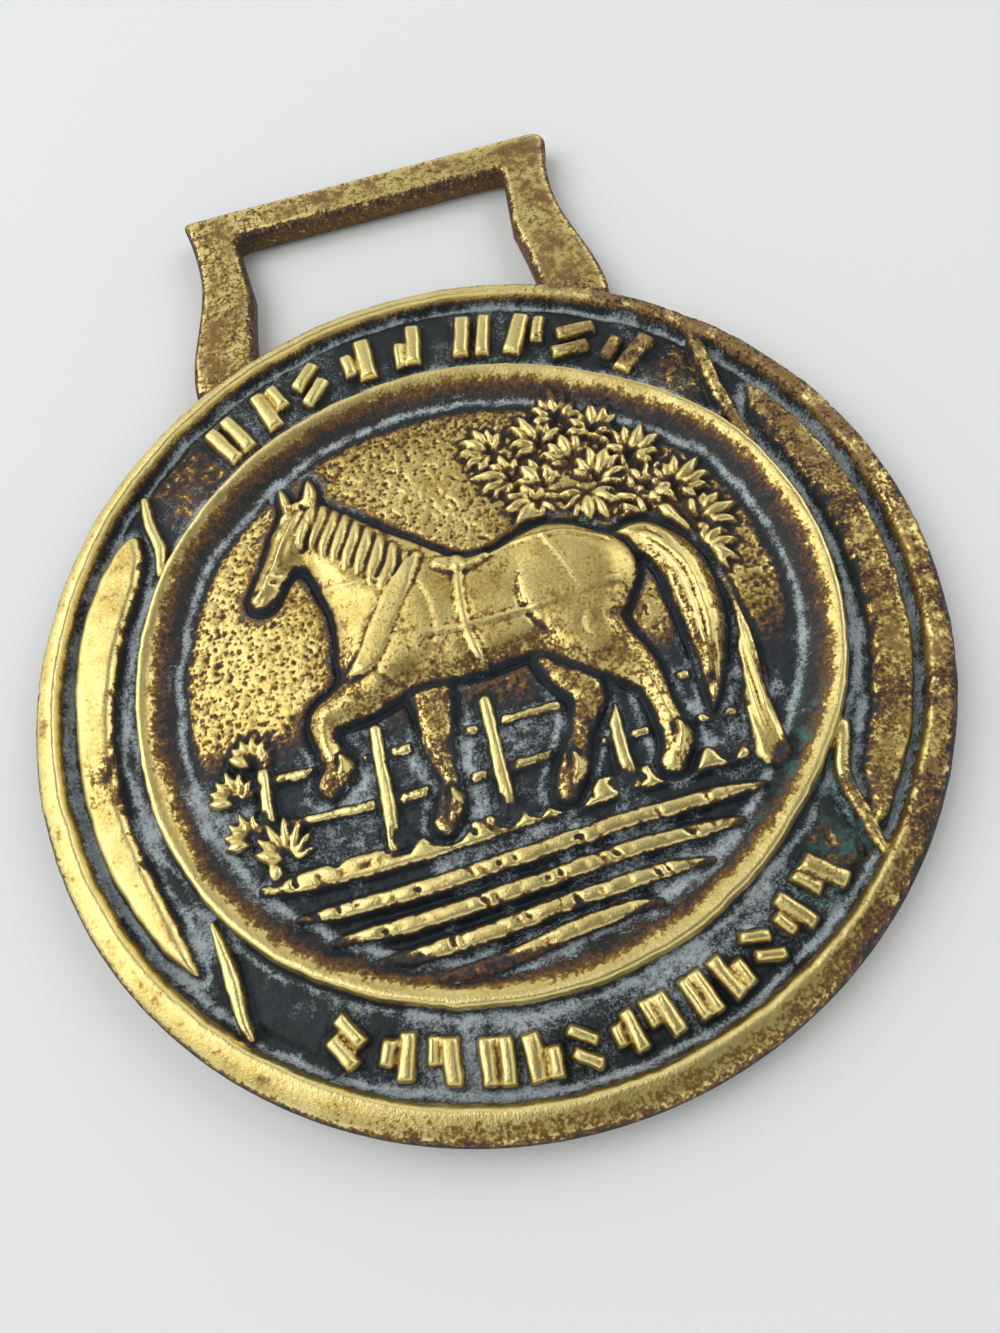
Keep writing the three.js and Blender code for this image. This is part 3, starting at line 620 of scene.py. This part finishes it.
def roundel(c):
    """The picture inside the ring. Gives the distances to the horse and inwards from the ring's foot."""
    rng = np.random.RandomState(SEED)
    inward = -ring_distance(c.X, c.Y) - ROUNDEL_INSET
    sky = GROOVE + (FIELD - GROOVE) * step(inward, 0.8, 2.2) + 0.3 * step(inward, 2, 11)
    sky = sky - 0.22 * step(-c.Y, 4.0, 9.0) * step(inward, 0.9, 3)
    c.Z = np.where(inward > 0.7, sky, c.Z).astype(np.float32)

    far = together(c, FAR_LEGS, 0.8)
    near = together(c, NEAR_BODY, 1.3)
    ears = together(c, EARS, 0.2)
    tail = together(c, [TAIL], 0.3)
    figure = np.minimum(np.minimum(far, near), np.minimum(ears, tail))
    setting(c, rng)

    wall = step(figure, 0, 1.6)
    c.Z = np.where(figure > 0, np.minimum(c.Z, GROUND - 0.15 + 2.2 * wall), c.Z).astype(np.float32)
    c.Z = np.where(far < 0, GROUND + 0.95 * quarter(-far, 1.2), c.Z)
    c.Z = np.where(near > 0, c.Z - 0.3 * np.exp(-(near / 0.35) ** 2) * (far < 0), c.Z)
    c.Z = np.where(tail < 0, GROUND + 1.2 * quarter(-tail, 1.5), c.Z)
    tail_hair(c, tail)
    c.Z = np.where(near < 0, GROUND + 1.5 * quarter(-near, 2.6), c.Z)
    c.Z = np.where(ears < 0, GROUND + 1.45 * quarter(-ears, 0.6), c.Z).astype(np.float32)
    body = np.clip(-near / 0.8, 0, 1).astype(np.float32)
    for x, y, rx, ry, turn, lift in MUSCLES:
        dome(c, x, y, rx, ry, turn, lift, body)
    body_detail(c, near, body)
    harness(c, near, body)
    hair_and_grass(c)
    return figure, inward


# ---------------------------------------------------------------- the whole field

def stipple(c, cell, depth, radius, seed):
    """Small hammered pits, one in each cell, at scattered places."""
    rng = np.random.RandomState(seed)
    rows, cols = c.X.shape
    nr, nc = int(rows * c.pitch / cell) + 6, int(cols * c.pitch / cell) + 6
    jx, jy, size = (rng.uniform(lo, hi, (nr, nc)) for lo, hi in ((0.1, 0.9), (0.1, 0.9), (0.5, 1.2)))
    wander = 0.35 * cell
    u = (c.PX - c.x0 + wander * noise(c.X.shape, c.pitch, cell, seed + 1)) / cell + 1.5
    v = (c.PY - c.y0 + wander * noise(c.X.shape, c.pitch, cell, seed + 2)) / cell + 1.5
    i, j = v.astype(int), u.astype(int)
    pit = np.zeros(c.X.shape, np.float32)
    for di in (-1, 0, 1):
        for dj in (-1, 0, 1):
            a, b = i + di, j + dj
            d2 = (u - b - jx[a, b]) ** 2 + (v - a - jy[a, b]) ** 2
            pit = np.maximum(pit, size[a, b] * np.exp(-d2 * (cell / radius) ** 2))
    return depth * pit


def build_field():
    """Every height, and the distances to the outline, the horse and the ring's foot."""
    c = Canvas(-DISC - 1, DISC + 1, -DISC - 1, LOOP_TOP_Y + 1, PITCH)
    shape = c.X.shape
    waver = 0.10
    c.X = c.PX + waver * fractal(shape, PITCH, 2.2, SEED + 1)
    c.Y = c.PY + waver * fractal(shape, PITCH, 2.2, SEED + 5)
    c.X = c.X + 0.05 * noise(shape, PITCH, 0.8, SEED + 2)
    c.Y = c.Y + 0.05 * noise(shape, PITCH, 0.8, SEED + 6)
    border(c)
    figure, inward = roundel(c)
    edge, loop = outline_distance(c.PX, c.PY)
    r = np.hypot(c.PX, c.PY)
    loop_z = LOOP_TOP - 0.6 * (1 - quarter(-loop, 0.8)) + 0.03 * noise(shape, PITCH, 3.0, SEED + 9)
    on_loop = (loop < 0) & (r > LOOP_FOOT_RADIUS)
    c.Z = np.where(on_loop, np.where(r < DISC, np.maximum(c.Z, loop_z), loop_z), c.Z).astype(np.float32)
    c.Z = blur(c.Z, 0.8)
    # a rough skin in the low ground, a smooth one on the worn heights
    low_ground = 1 - step(c.Z, 1.9, 2.4)
    sky = low_ground * (inward > 0.8) * step(figure, 0.3, 1.2)
    c.Z -= (stipple(c, 0.52, 0.1, 0.2, SEED + 20) + stipple(c, 0.95, 0.09, 0.26, SEED + 23)) * sky
    ring = ring_distance(c.X, c.Y)
    rough = step(ring, -3.4, -2.8) * (1 - step(ring, -1.3, -0.6)) + 0.6 * (r > 32) * (c.Z < 1.8)
    right = step(np.degrees(np.arctan2(c.Y, c.X)), -75, -30) * (c.X > 0) * (c.Y < 30)
    rough = rough + 0.9 * right * (r > 32)
    c.Z -= stipple(c, 0.5, 0.09, 0.18, SEED + 26) * rough * (loop > 0)
    on_horse = (figure < -0.6) & (c.Z > 2.2)
    c.Z -= 0.25 * stipple(c, 0.45, 0.07, 0.16, SEED + 27) * on_horse
    ripple = 0.03 * fractal(shape, PITCH, 4, SEED + 40)
    c.Z += 0.07 * low_ground * fractal(shape, PITCH, 0.9, SEED + 30) + ripple
    # nothing rises past the top: the last part of any height is pressed flat
    soft = 0.3
    over_top = np.maximum(c.Z - (TOP - soft), 0)
    c.Z = np.minimum(c.Z, TOP - soft) + soft * np.tanh(over_top / soft)
    return c, edge, figure, inward


# ---------------------------------------------------------------- mesh

def relief_mesh(c, edge):
    """The closed mesh: the relief above, the same plan below for the back, and the wall between."""
    back_noise = 0.5 + 0.5 * fractal(c.X.shape, PITCH, 6, SEED + 60, 2)
    keep = edge < 0.3 * PITCH
    rows, cols = keep.shape
    quads = keep[:-1, :-1].astype(int) + keep[:-1, 1:] + keep[1:, 1:] + keep[1:, :-1]
    index = np.arange(rows * cols).reshape(rows, cols)
    a, b, d, e = index[:-1, :-1], index[:-1, 1:], index[1:, 1:], index[1:, :-1]
    full = quads == 4
    tris = [np.stack([a[full], b[full], d[full]], 1), np.stack([a[full], d[full], e[full]], 1)]
    three = quads == 3
    corner = [a, b, d, e]
    flags = [keep[:-1, :-1], keep[:-1, 1:], keep[1:, 1:], keep[1:, :-1]]
    for k in range(4):
        lacks = three & ~flags[k]
        rest = [corner[(k + n) % 4][lacks] for n in (1, 2, 3)]
        tris.append(np.stack(rest, 1))
    tris = np.vstack(tris)
    used, tris = np.unique(tris, return_inverse=True)
    tris = tris.reshape(-1, 3)
    x, y = c.PX.ravel()[used].astype(np.float64), c.PY.ravel()[used].astype(np.float64)
    # boundary edges run the way their triangle runs
    sides = np.vstack([tris[:, [0, 1]], tris[:, [1, 2]], tris[:, [2, 0]]])
    key = np.minimum(sides[:, 0], sides[:, 1]) * len(used) + np.maximum(sides[:, 0], sides[:, 1])
    _, first, count = np.unique(key, return_index=True, return_counts=True)
    rim = sides[first[count == 1]]
    ring = np.unique(rim)
    gy, gx = np.gradient(edge, PITCH)
    for _ in range(3):
        d = c.sample(edge, x[ring], y[ring])
        nx, ny = c.sample(gx, x[ring], y[ring]), c.sample(gy, x[ring], y[ring])
        n = np.hypot(nx, ny) + 1e-9
        x[ring] -= d * nx / n
        y[ring] -= d * ny / n
    top = c.sample(c.Z, x, y)
    top[ring] = np.clip(top[ring], WALL_TOP - 0.3, LOOP_TOP)
    depth = -c.sample(edge, x, y)
    depth[ring] = 0
    wave = BACK_WAVE * step(depth, 0.5, 4) * c.sample(back_noise, x, y)
    back = BACK_EDGE * (1 - quarter(depth, 0.5)) + wave
    count = len(x)
    walls = [np.stack([rim[:, 1], rim[:, 0], rim[:, 0] + count], 1),
             np.stack([rim[:, 1], rim[:, 0] + count, rim[:, 1] + count], 1)]
    points = np.vstack([np.stack([x, y, top], 1), np.stack([x, y, back], 1)])
    return points, np.vstack([tris, tris[:, ::-1] + count] + walls)


def make_object(name, points, faces):
    mesh = bpy.data.meshes.new(name)
    mesh.vertices.add(len(points))
    mesh.vertices.foreach_set("co", (points * MM).astype(np.float32).ravel())
    mesh.loops.add(len(faces) * 3)
    mesh.loops.foreach_set("vertex_index", faces.astype(np.int32).ravel())
    mesh.polygons.add(len(faces))
    mesh.polygons.foreach_set("loop_start", np.arange(0, len(faces) * 3, 3, dtype=np.int32))
    mesh.update(calc_edges=True)
    mesh.validate()
    obj = bpy.data.objects.new(name, mesh)
    bpy.context.scene.collection.objects.link(obj)
    return obj


def decimated(obj, triangles):
    """Thins the mesh to this many triangles."""
    share = triangles / len(obj.data.polygons)
    if share >= 1:
        return
    modifier = obj.modifiers.new("thin_out", "DECIMATE")
    modifier.ratio = share
    modifier.use_collapse_triangulate = True
    depsgraph = bpy.context.evaluated_depsgraph_get()
    mesh = bpy.data.meshes.new_from_object(obj.evaluated_get(depsgraph))
    old = obj.data
    obj.modifiers.clear()
    obj.data = mesh
    mesh.name = old.name
    bpy.data.meshes.remove(old)


def attribute(mesh, name, values):
    layer = mesh.attributes.new(name, "FLOAT", "POINT")
    layer.data.foreach_set("value", values.astype(np.float32))


c, edge, figure, inward = build_field()
points, faces = relief_mesh(c, edge)
brass = make_object("brass_relief", points, faces)
decimated(brass, TRIANGLES)
brass.data.shade_smooth()
brass.data.set_sharp_from_angle(angle=math.radians(60))

# ---------------------------------------------------------------- maps on the surface

co = np.zeros(len(brass.data.vertices) * 3, np.float32)
brass.data.vertices.foreach_get("co", co)
co = co.reshape(-1, 3) / MM


def tarnish_and_painted_light_maps():
    """Maps over the plan, from each place's height, hollow and zone, each with its value off the face.

    In order, the maps give how dark a place is (real tarnish, and painted shade at the rim's bottom and on
    the horse's belly and legs), its pale powder, its red-brown, its verdigris, and its rubbed edges (real
    wear, also painted paler as a highlight).
    """
    shape = c.X.shape
    z = c.Z
    solid_z = np.where(edge < 0.2, z, 1.2)
    wide = blur(solid_z, 1.3 / PITCH) - z
    fine = blur(solid_z, 0.35 / PITCH) - z
    radius = np.hypot(c.X, c.Y)
    angle = np.degrees(np.arctan2(c.Y, c.X))
    ring = ring_distance(c.X, c.Y)
    patchy = fractal(shape, PITCH, 4.5, SEED + 70)
    speckle = noise(shape, PITCH, 0.38, SEED + 81) + 0.5 * noise(shape, PITCH, 0.9, SEED + 82)
    tarnish_and_shade = 1.05 * (1 - step(z + 0.16 * speckle, 1.8, 2.3))

    # the sky: worn gold in the middle, brown then black towards the ring and round the figure
    in_roundel = inward > -0.3
    sky = in_roundel & (figure > 0) & (z < 2.0)
    inwards = inward + 1.2 * patchy
    rise = 1 - step(-c.Y, 1.0, 8.0)
    left = step(-c.X - 0.4 * c.Y, -8.0, 8.0)
    reach = inwards + 2.0 * left
    gold = rise * (0.55 * step(reach, 0.8, 2.6) + 0.45 * step(reach, 2.0, 6.5))
    edge_brown = 1.15 - 0.52 * rise
    sky_tarnish = edge_brown - (edge_brown - 0.08) * gold + 0.2 * patchy
    sky_tarnish += 0.5 * np.exp(-((inward - 0.4) / 0.8) ** 2)
    sky_tarnish += 0.8 * np.exp(-(np.maximum(figure, 0) / 1.0) ** 2)
    tarnish_and_shade = np.where(sky, sky_tarnish + 7.0 * np.clip(fine, -0.03, 0.09), tarnish_and_shade)

    # the ring's inner slope is brown and pitted, its crest is worn bright
    slope = (ring > -3.4) & (ring < -0.1)
    worn_slope = ring + 0.4 * patchy + 0.3 * speckle
    slope_tarnish = np.interp(worn_slope, [-3.0, -2.0, -1.2, -0.7, -0.3], [0.85, 0.68, 0.48, 0.2, 0.0])
    tarnish_and_shade = np.where(slope, slope_tarnish, tarnish_and_shade)

    # the rim is dark at its foot and its outer edge, and at the bottom a little darker, with a dark
    # reflection painted on its top
    rim_zone = radius > 37.9
    rim_tarnish = 0.9 * (1 - step(z, 2.1, 2.7)) + 0.42 * step(radius + 0.3 * patchy, 39.0, 40.0)
    tarnish_and_shade = np.where(rim_zone, rim_tarnish, tarnish_and_shade)
    low_rim_painted_shade = step(angle, -122, -98) * (1 - step(angle, -48, -28)) * (radius > 38.0) * (radius < 39.7)
    tarnish_and_shade = tarnish_and_shade + 0.3 * low_rim_painted_shade * (z > 2.4)

    # the loop is darker at its edges and on its left
    loop_zone = radius > DISC
    loop_tarnish = 0.15 - 0.0035 * c.X + 0.5 * (1 - step(-edge, 0.0, 0.8)) + 0.1 * speckle + 0.06 * patchy
    tarnish_and_shade = np.where(loop_zone, loop_tarnish, tarnish_and_shade)

    # between rim and ring: brown ground beside the bars, stained metal on the right
    ends = sum(np.exp(-((angle - a) / w) ** 4) for a, w in ((134, 7.5), (42, 5), (-46, 3)))
    panel = ends * (radius > 31.9) * (radius < 36.9) * (z < 1.9)
    tarnish_and_shade = tarnish_and_shade - panel * (0.42 + 0.55 * np.clip(speckle, -0.3, 1))
    right = step(angle, -75, -30) * (1 - step(angle, 52, 82)) * step(radius, 31.5, 32.5) * (radius < DISC)
    tarnish_and_shade = tarnish_and_shade + (0.3 + 0.3 * patchy + 0.2 * speckle) * right * (z > 2.0)
    upper_left = (angle > 128) * (radius > 32.7) * (radius < 37.2)
    tarnish_and_shade = tarnish_and_shade + 0.16 * upper_left * (z > 1.9) * (1 - step(z, 2.1, 2.7))
    # the crescents' inner edges are pitted, and the left one has a brown stain across it
    inner_edge = np.exp(-(np.minimum(c.crescent, 0) / 0.75) ** 2) * (c.crescent < 0.1) * (radius < 34.9)
    tarnish_and_shade = tarnish_and_shade + inner_edge * np.clip(0.32 + 0.6 * speckle, 0, 0.9)
    stain = np.exp(-((angle + 173) / 3.2) ** 2) * (c.crescent < 0) * (angle < 0)
    tarnish_and_shade = tarnish_and_shade + stain * np.clip(0.32 + 0.5 * speckle, 0, 0.8)

    # stains on the horse, dark creases, and painted shade that darkens its belly and legs
    stained = step(fractal(shape, PITCH, 3.2, SEED + 84), 0.2, 0.9) * (figure < -0.4) * (z > 2.2)
    tarnish_and_shade = tarnish_and_shade + stained * np.clip(0.05 + 0.15 * speckle, 0, 0.3)
    creases = np.clip(fine - 0.008, 0, 0.2) * ~sky
    tarnish_and_shade = tarnish_and_shade + np.where(in_roundel, 5.0, 1.5) * creases - 0.1 * np.clip(-wide, 0, 1)
    shade = (figure < 0) * (0.12 + 0.2 * step(-c.Y, -5.0, 1.0) + 0.25 * patchy)
    tarnish_and_shade = tarnish_and_shade + np.maximum(shade, 0) * (z < 2.95)

    # powder lies in lines at the foot of each form, and in clouds on the low ground
    rim_inner = rim_edge(np.radians(angle))
    waver = 0.25 * noise(shape, PITCH, 3.0, SEED + 75)
    low = 1 - step(z, 1.6, 2.0)
    lines = np.exp(-((radius - rim_inner + 0.6 + waver) / 0.25) ** 2) * (radius > 35)
    lines = lines + np.exp(-((inward - 0.4 + waver) / 0.32) ** 2)
    lines = lines + 0.9 * np.exp(-((ring - 1.25 + waver) / 0.22) ** 2)
    lines = lines + 0.75 * np.exp(-((c.crescent - 0.5 + waver) / 0.3) ** 2)
    lines = lines + 0.6 * np.exp(-((figure - 0.8 + waver) / 0.3) ** 2) * in_roundel
    clouds = step(patchy + 0.4 * fractal(shape, PITCH, 1.6, SEED + 78), -0.5, 0.6)
    streaks = fractal(shape, PITCH, 1.1, SEED + 83)
    open_field = np.maximum(~sky, 1.2 * step(-c.Y, 4.0, 9.0) * step(figure, 0.0, 0.3))
    dust = 1.5 * lines * low + (0.45 + 0.45 * (c.Y < -6)) * low * clouds * open_field
    dust = dust * np.clip(1 + 0.7 * streaks, 0.2, 1.8)

    blotch = 0.1 + 0.5 * loop_zone + 0.3 * rim_zone + (0.75 + 0.45 * step(angle, -10, 30)) * right
    blotch = blotch + 0.55 * (figure < 0) * step(-c.Y, -7.0, 0.0)
    blotch = blotch + 1.1 * stained
    green = np.exp(-((angle + 35) / 14) ** 2) * np.exp(-((ring + 1.0) / 2.2) ** 2)
    green = green + 0.7 * np.exp(-((angle + 46) / 8) ** 2) * (radius > 31) * (radius < 37)
    green = 2.1 * green * (0.6 + 0.7 * patchy)
    # rubbed convex edges: real wear, and in the material also a painted highlight along the crests
    worn_and_highlight = np.clip(-9.0 * fine - 0.1, 0, 1) * (z > 2.0) * (edge < -0.4) * (1 - 0.85 * right)
    return {"tarnish_and_shade": (tarnish_and_shade, 0.5), "dust": (dust, 0.0), "blotch": (blotch, 0.8), "green": (green, 0.0),
            "worn_and_highlight": (worn_and_highlight, 0.0)}


on_face = co[:, 2] > FACE_FROM
for name, (grid, elsewhere) in tarnish_and_painted_light_maps().items():
    values = c.sample(np.clip(grid, -0.5, 1.5).astype(np.float32), co[:, 0], co[:, 1])
    attribute(brass.data, name, np.where(on_face, values, elsewhere))
attribute(brass.data, "back", np.where(on_face, 0.0, 1.0))


# ---------------------------------------------------------------- material

class Tree:
    """Short ways to add shader nodes; a name like _0 gives a socket by its number."""

    def __init__(self, material):
        material.use_nodes = True
        self.nodes = material.node_tree.nodes
        self.links = material.node_tree.links
        self.nodes.clear()

    def add(self, kind, out=0, **inputs):
        props = inputs.pop("props", {})
        node = self.nodes.new(kind)
        for k, v in props.items():
            setattr(node, k, v)
        for name, value in inputs.items():
            key = int(name[1:]) if name[0] == "_" else name.replace("_", " ")
            socket = node.inputs[key]
            if isinstance(value, bpy.types.NodeSocket):
                self.links.new(value, socket)
            else:
                socket.default_value = value
        return node.outputs[out] if node.outputs else node

    def math(self, operation, a, b=0.0, clamp=False):
        return self.add("ShaderNodeMath", _0=a, _1=b, props={"operation": operation, "use_clamp": clamp})

    def mix(self, factor, a, b):
        node = self.nodes.new("ShaderNodeMix")
        node.data_type = "RGBA"
        for socket, value in ((node.inputs[0], factor), (node.inputs[6], a), (node.inputs[7], b)):
            if isinstance(value, bpy.types.NodeSocket):
                self.links.new(value, socket)
            else:
                socket.default_value = value
        return node.outputs[2]

    def ramp(self, value, lo, hi, a=0.0, b=1.0):
        return self.add("ShaderNodeMapRange", Value=value, From_Min=lo, From_Max=hi, To_Min=a, To_Max=b,
                        props={"clamp": True, "interpolation_type": "SMOOTHSTEP"})

    def attribute(self, name):
        return self.add("ShaderNodeAttribute", out=2, props={"attribute_name": name})


def rgb(r, g, b):
    """Display colour 0-255 to a linear colour."""
    linear = (((v / 255 + 0.055) / 1.055) ** 2.4 if v > 10 else v / 255 / 12.92 for v in (r, g, b))
    return (*linear, 1.0)


def brass_material():
    material = bpy.data.materials.new("aged_brass")
    t = Tree(material)
    place = t.add("ShaderNodeTexCoord", out=3)

    def noise_tex(size_mm, detail, rough=0.55):
        """Noise about zero, from roughly -1 to 1."""
        value = t.add("ShaderNodeTexNoise", Vector=place, Scale=1000.0 / size_mm, Detail=detail,
                      Roughness=rough)
        return t.math("MULTIPLY", t.math("SUBTRACT", value, 0.5), 4.0)

    def plus(a, b, share):
        return t.math("ADD", a, t.math("MULTIPLY", b, share))

    tarnish_and_shade = t.attribute("tarnish_and_shade")
    dust = t.attribute("dust")
    blotch = t.attribute("blotch")
    green = t.attribute("green")
    worn_and_highlight = t.attribute("worn_and_highlight")
    back = t.attribute("back")
    broad = noise_tex(16.0, 3.0)
    mid = noise_tex(3.6, 4.0, 0.6)
    fine = noise_tex(0.9, 3.0, 0.6)
    grain = noise_tex(0.30, 2.0)
    dust_grain = noise_tex(0.16, 1.0)

    gold = t.mix(t.ramp(plus(mid, grain, 0.7), -1.0, 1.0), rgb(224, 204, 132), rgb(188, 160, 86))
    gold = t.mix(t.ramp(broad, 0.1, 1.2, 0.0, 0.5), gold, rgb(170, 146, 72))
    # red-brown blotches lie over the gold, thickest where the blotch map is strong
    patches = plus(plus(mid, broad, 0.5), fine, 0.75)
    patches = plus(plus(patches, grain, 0.35), blotch, 1.5)
    patches = t.ramp(plus(patches, worn_and_highlight, -0.8), 0.7, 2.2)
    gold = t.mix(t.math("MULTIPLY", patches, 0.85), gold, rgb(98, 50, 30))

    # rubbed edges are painted paler than the gold: partly real wear, partly a painted highlight
    gold = t.mix(t.math("MULTIPLY", worn_and_highlight, 0.6), gold, rgb(244, 228, 158))
    level = plus(plus(plus(tarnish_and_shade, worn_and_highlight, -0.15), grain, 0.2), fine, 0.14)
    level = plus(level, t.math("MULTIPLY", blotch, plus(grain, fine, 0.8)), 0.2)
    level = plus(level, t.ramp(plus(grain, fine, 0.4), 0.95, 1.4), 0.3)
    color = t.mix(t.ramp(level, 0.10, 0.32), gold, rgb(140, 112, 55))
    color = t.mix(t.ramp(level, 0.28, 0.50), color, rgb(92, 60, 33))
    color = t.mix(t.ramp(level, 0.50, 0.72), color, rgb(40, 34, 27))
    color = t.mix(t.ramp(level, 0.70, 0.92), color, rgb(22, 31, 35))
    crumbs = plus(plus(plus(t.math("MULTIPLY", dust, 0.75), fine, 0.35), grain, 0.4), dust_grain, 0.35)
    powder = t.math("MULTIPLY", t.ramp(crumbs, 0.1, 1.5), t.ramp(level, 0.4, 0.7), True)
    powder = t.math("MULTIPLY", powder, t.ramp(dust, 0.05, 0.35), True)
    color = t.mix(t.math("MULTIPLY", powder, 0.8), color, rgb(200, 211, 214))
    teal = t.math("MULTIPLY", green, t.ramp(plus(fine, mid, 0.5), -0.3, 0.9))
    teal = t.math("MULTIPLY", teal, t.ramp(level, 0.3, 0.6), True)
    color = t.mix(t.math("MULTIPLY", teal, 0.85), color, rgb(70, 136, 124))
    color = t.mix(t.math("MULTIPLY", back, 0.5), color, rgb(104, 80, 38))

    bare = t.ramp(level, 0.2, 0.6, 1.0, 0.0)
    bare = t.math("MULTIPLY", bare, t.ramp(patches, 0.2, 1.0, 1.0, 0.45))
    metallic = t.math("ADD", t.math("MULTIPLY", bare, 0.9), 0.1)
    roughness = t.ramp(level, 0.1, 0.6, 0.40, 0.6)
    roughness = plus(plus(plus(roughness, fine, 0.05), patches, 0.12), worn_and_highlight, -0.06)
    roughness = plus(roughness, powder, 0.2)
    height = plus(t.math("MULTIPLY", grain, 0.35), dust_grain, 0.25)
    relief = t.ramp(level, 0.1, 0.6, 0.45, 1.0)
    bump = t.add("ShaderNodeBump", Strength=relief, Distance=0.00004, Height=height)
    shader = t.add("ShaderNodeBsdfPrincipled", Base_Color=color, Metallic=metallic, Roughness=roughness,
                   Normal=bump)
    t.add("ShaderNodeOutputMaterial", Surface=shader)
    return material


brass.data.materials.append(brass_material())
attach(brass, "root")
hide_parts("horse_brass")

# ---------------------------------------------------------------- floor, light, camera

FLOOR_HALF = 1.2
FLOOR_DROP = 0.0003

floor_mesh = bpy.data.meshes.new("floor")
floor_corners = [(x * FLOOR_HALF, y * FLOOR_HALF, 0) for x, y in ((-1, -1), (1, -1), (1, 1), (-1, 1))]
floor_mesh.from_pydata(floor_corners, [], [(0, 1, 2, 3)])
floor = bpy.data.objects.new("floor", floor_mesh)
bpy.context.scene.collection.objects.link(floor)
floor.location.z = -FLOOR_DROP
floor_material = bpy.data.materials.new("floor_pale")
tree = Tree(floor_material)
floor_shader = tree.add("ShaderNodeBsdfPrincipled", Base_Color=rgb(230, 231, 230), Roughness=0.9)
tree.add("ShaderNodeOutputMaterial", Surface=floor_shader)
floor_mesh.materials.append(floor_material)

# A sky that is bright above the horizon and dim overhead, so that flat tops mirror less than flanks do
world = bpy.data.worlds.new("studio")
sky_tree = Tree(world)
direction = sky_tree.add("ShaderNodeTexCoord")
height = sky_tree.add("ShaderNodeSeparateXYZ", out=2, Vector=direction)
glow = sky_tree.ramp(height, 0.45, 0.95, 0.96, 0.14)
backdrop = sky_tree.add("ShaderNodeBackground", Color=(0.97, 1.0, 1.0, 1.0), Strength=glow)
sky_tree.add("ShaderNodeOutputWorld", Surface=backdrop)
bpy.context.scene.world = world
bpy.context.scene.view_settings.view_transform = "Standard"


def area_light(name, where, width, height, power):
    """A rectangular light that faces the brass."""
    data = bpy.data.lights.new(name, "AREA")
    data.shape = "RECTANGLE"
    data.size, data.size_y = width, height
    data.energy = power
    obj = bpy.data.objects.new(name, data)
    obj.location = where
    obj.rotation_euler = (-Vector(where)).to_track_quat("-Z", "Y").to_euler()
    bpy.context.scene.collection.objects.link(obj)


KEY_WATTS, FILL_WATTS = 3.75, 0.9
area_light("key", (-0.45, 0.18, 0.66), 0.8, 0.7, KEY_WATTS)
area_light("fill", (0.55, 0.3, 0.5), 0.4, 0.45, FILL_WATTS)

# The camera stands close above the brass: its turns, then the brass's place before it in millimetres
SENSOR_HEIGHT = 36.0
FOCAL_LENGTH = SENSOR_HEIGHT * 1000.0 / 1333.0
TILT, ROLL, TURN = math.radians(23.19), math.radians(15.79), math.radians(-1.4)
SHIFT_X, SHIFT_Y, DISTANCE = -1.80, 1.16, 89.71
camera_data = bpy.data.cameras.new("camera")
camera_data.sensor_fit = "VERTICAL"
camera_data.sensor_height = SENSOR_HEIGHT
camera_data.lens = FOCAL_LENGTH
camera_data.clip_start = 0.005
camera = bpy.data.objects.new("camera", camera_data)
to_camera = (Matrix.Translation((SHIFT_X * MM, SHIFT_Y * MM, -DISTANCE * MM)) @ Matrix.Rotation(ROLL, 4, "Z")
             @ Matrix.Rotation(-TILT, 4, "X") @ Matrix.Rotation(TURN, 4, "Z"))
camera.matrix_world = to_camera.inverted()
bpy.context.scene.collection.objects.link(camera)
bpy.context.scene.camera = camera
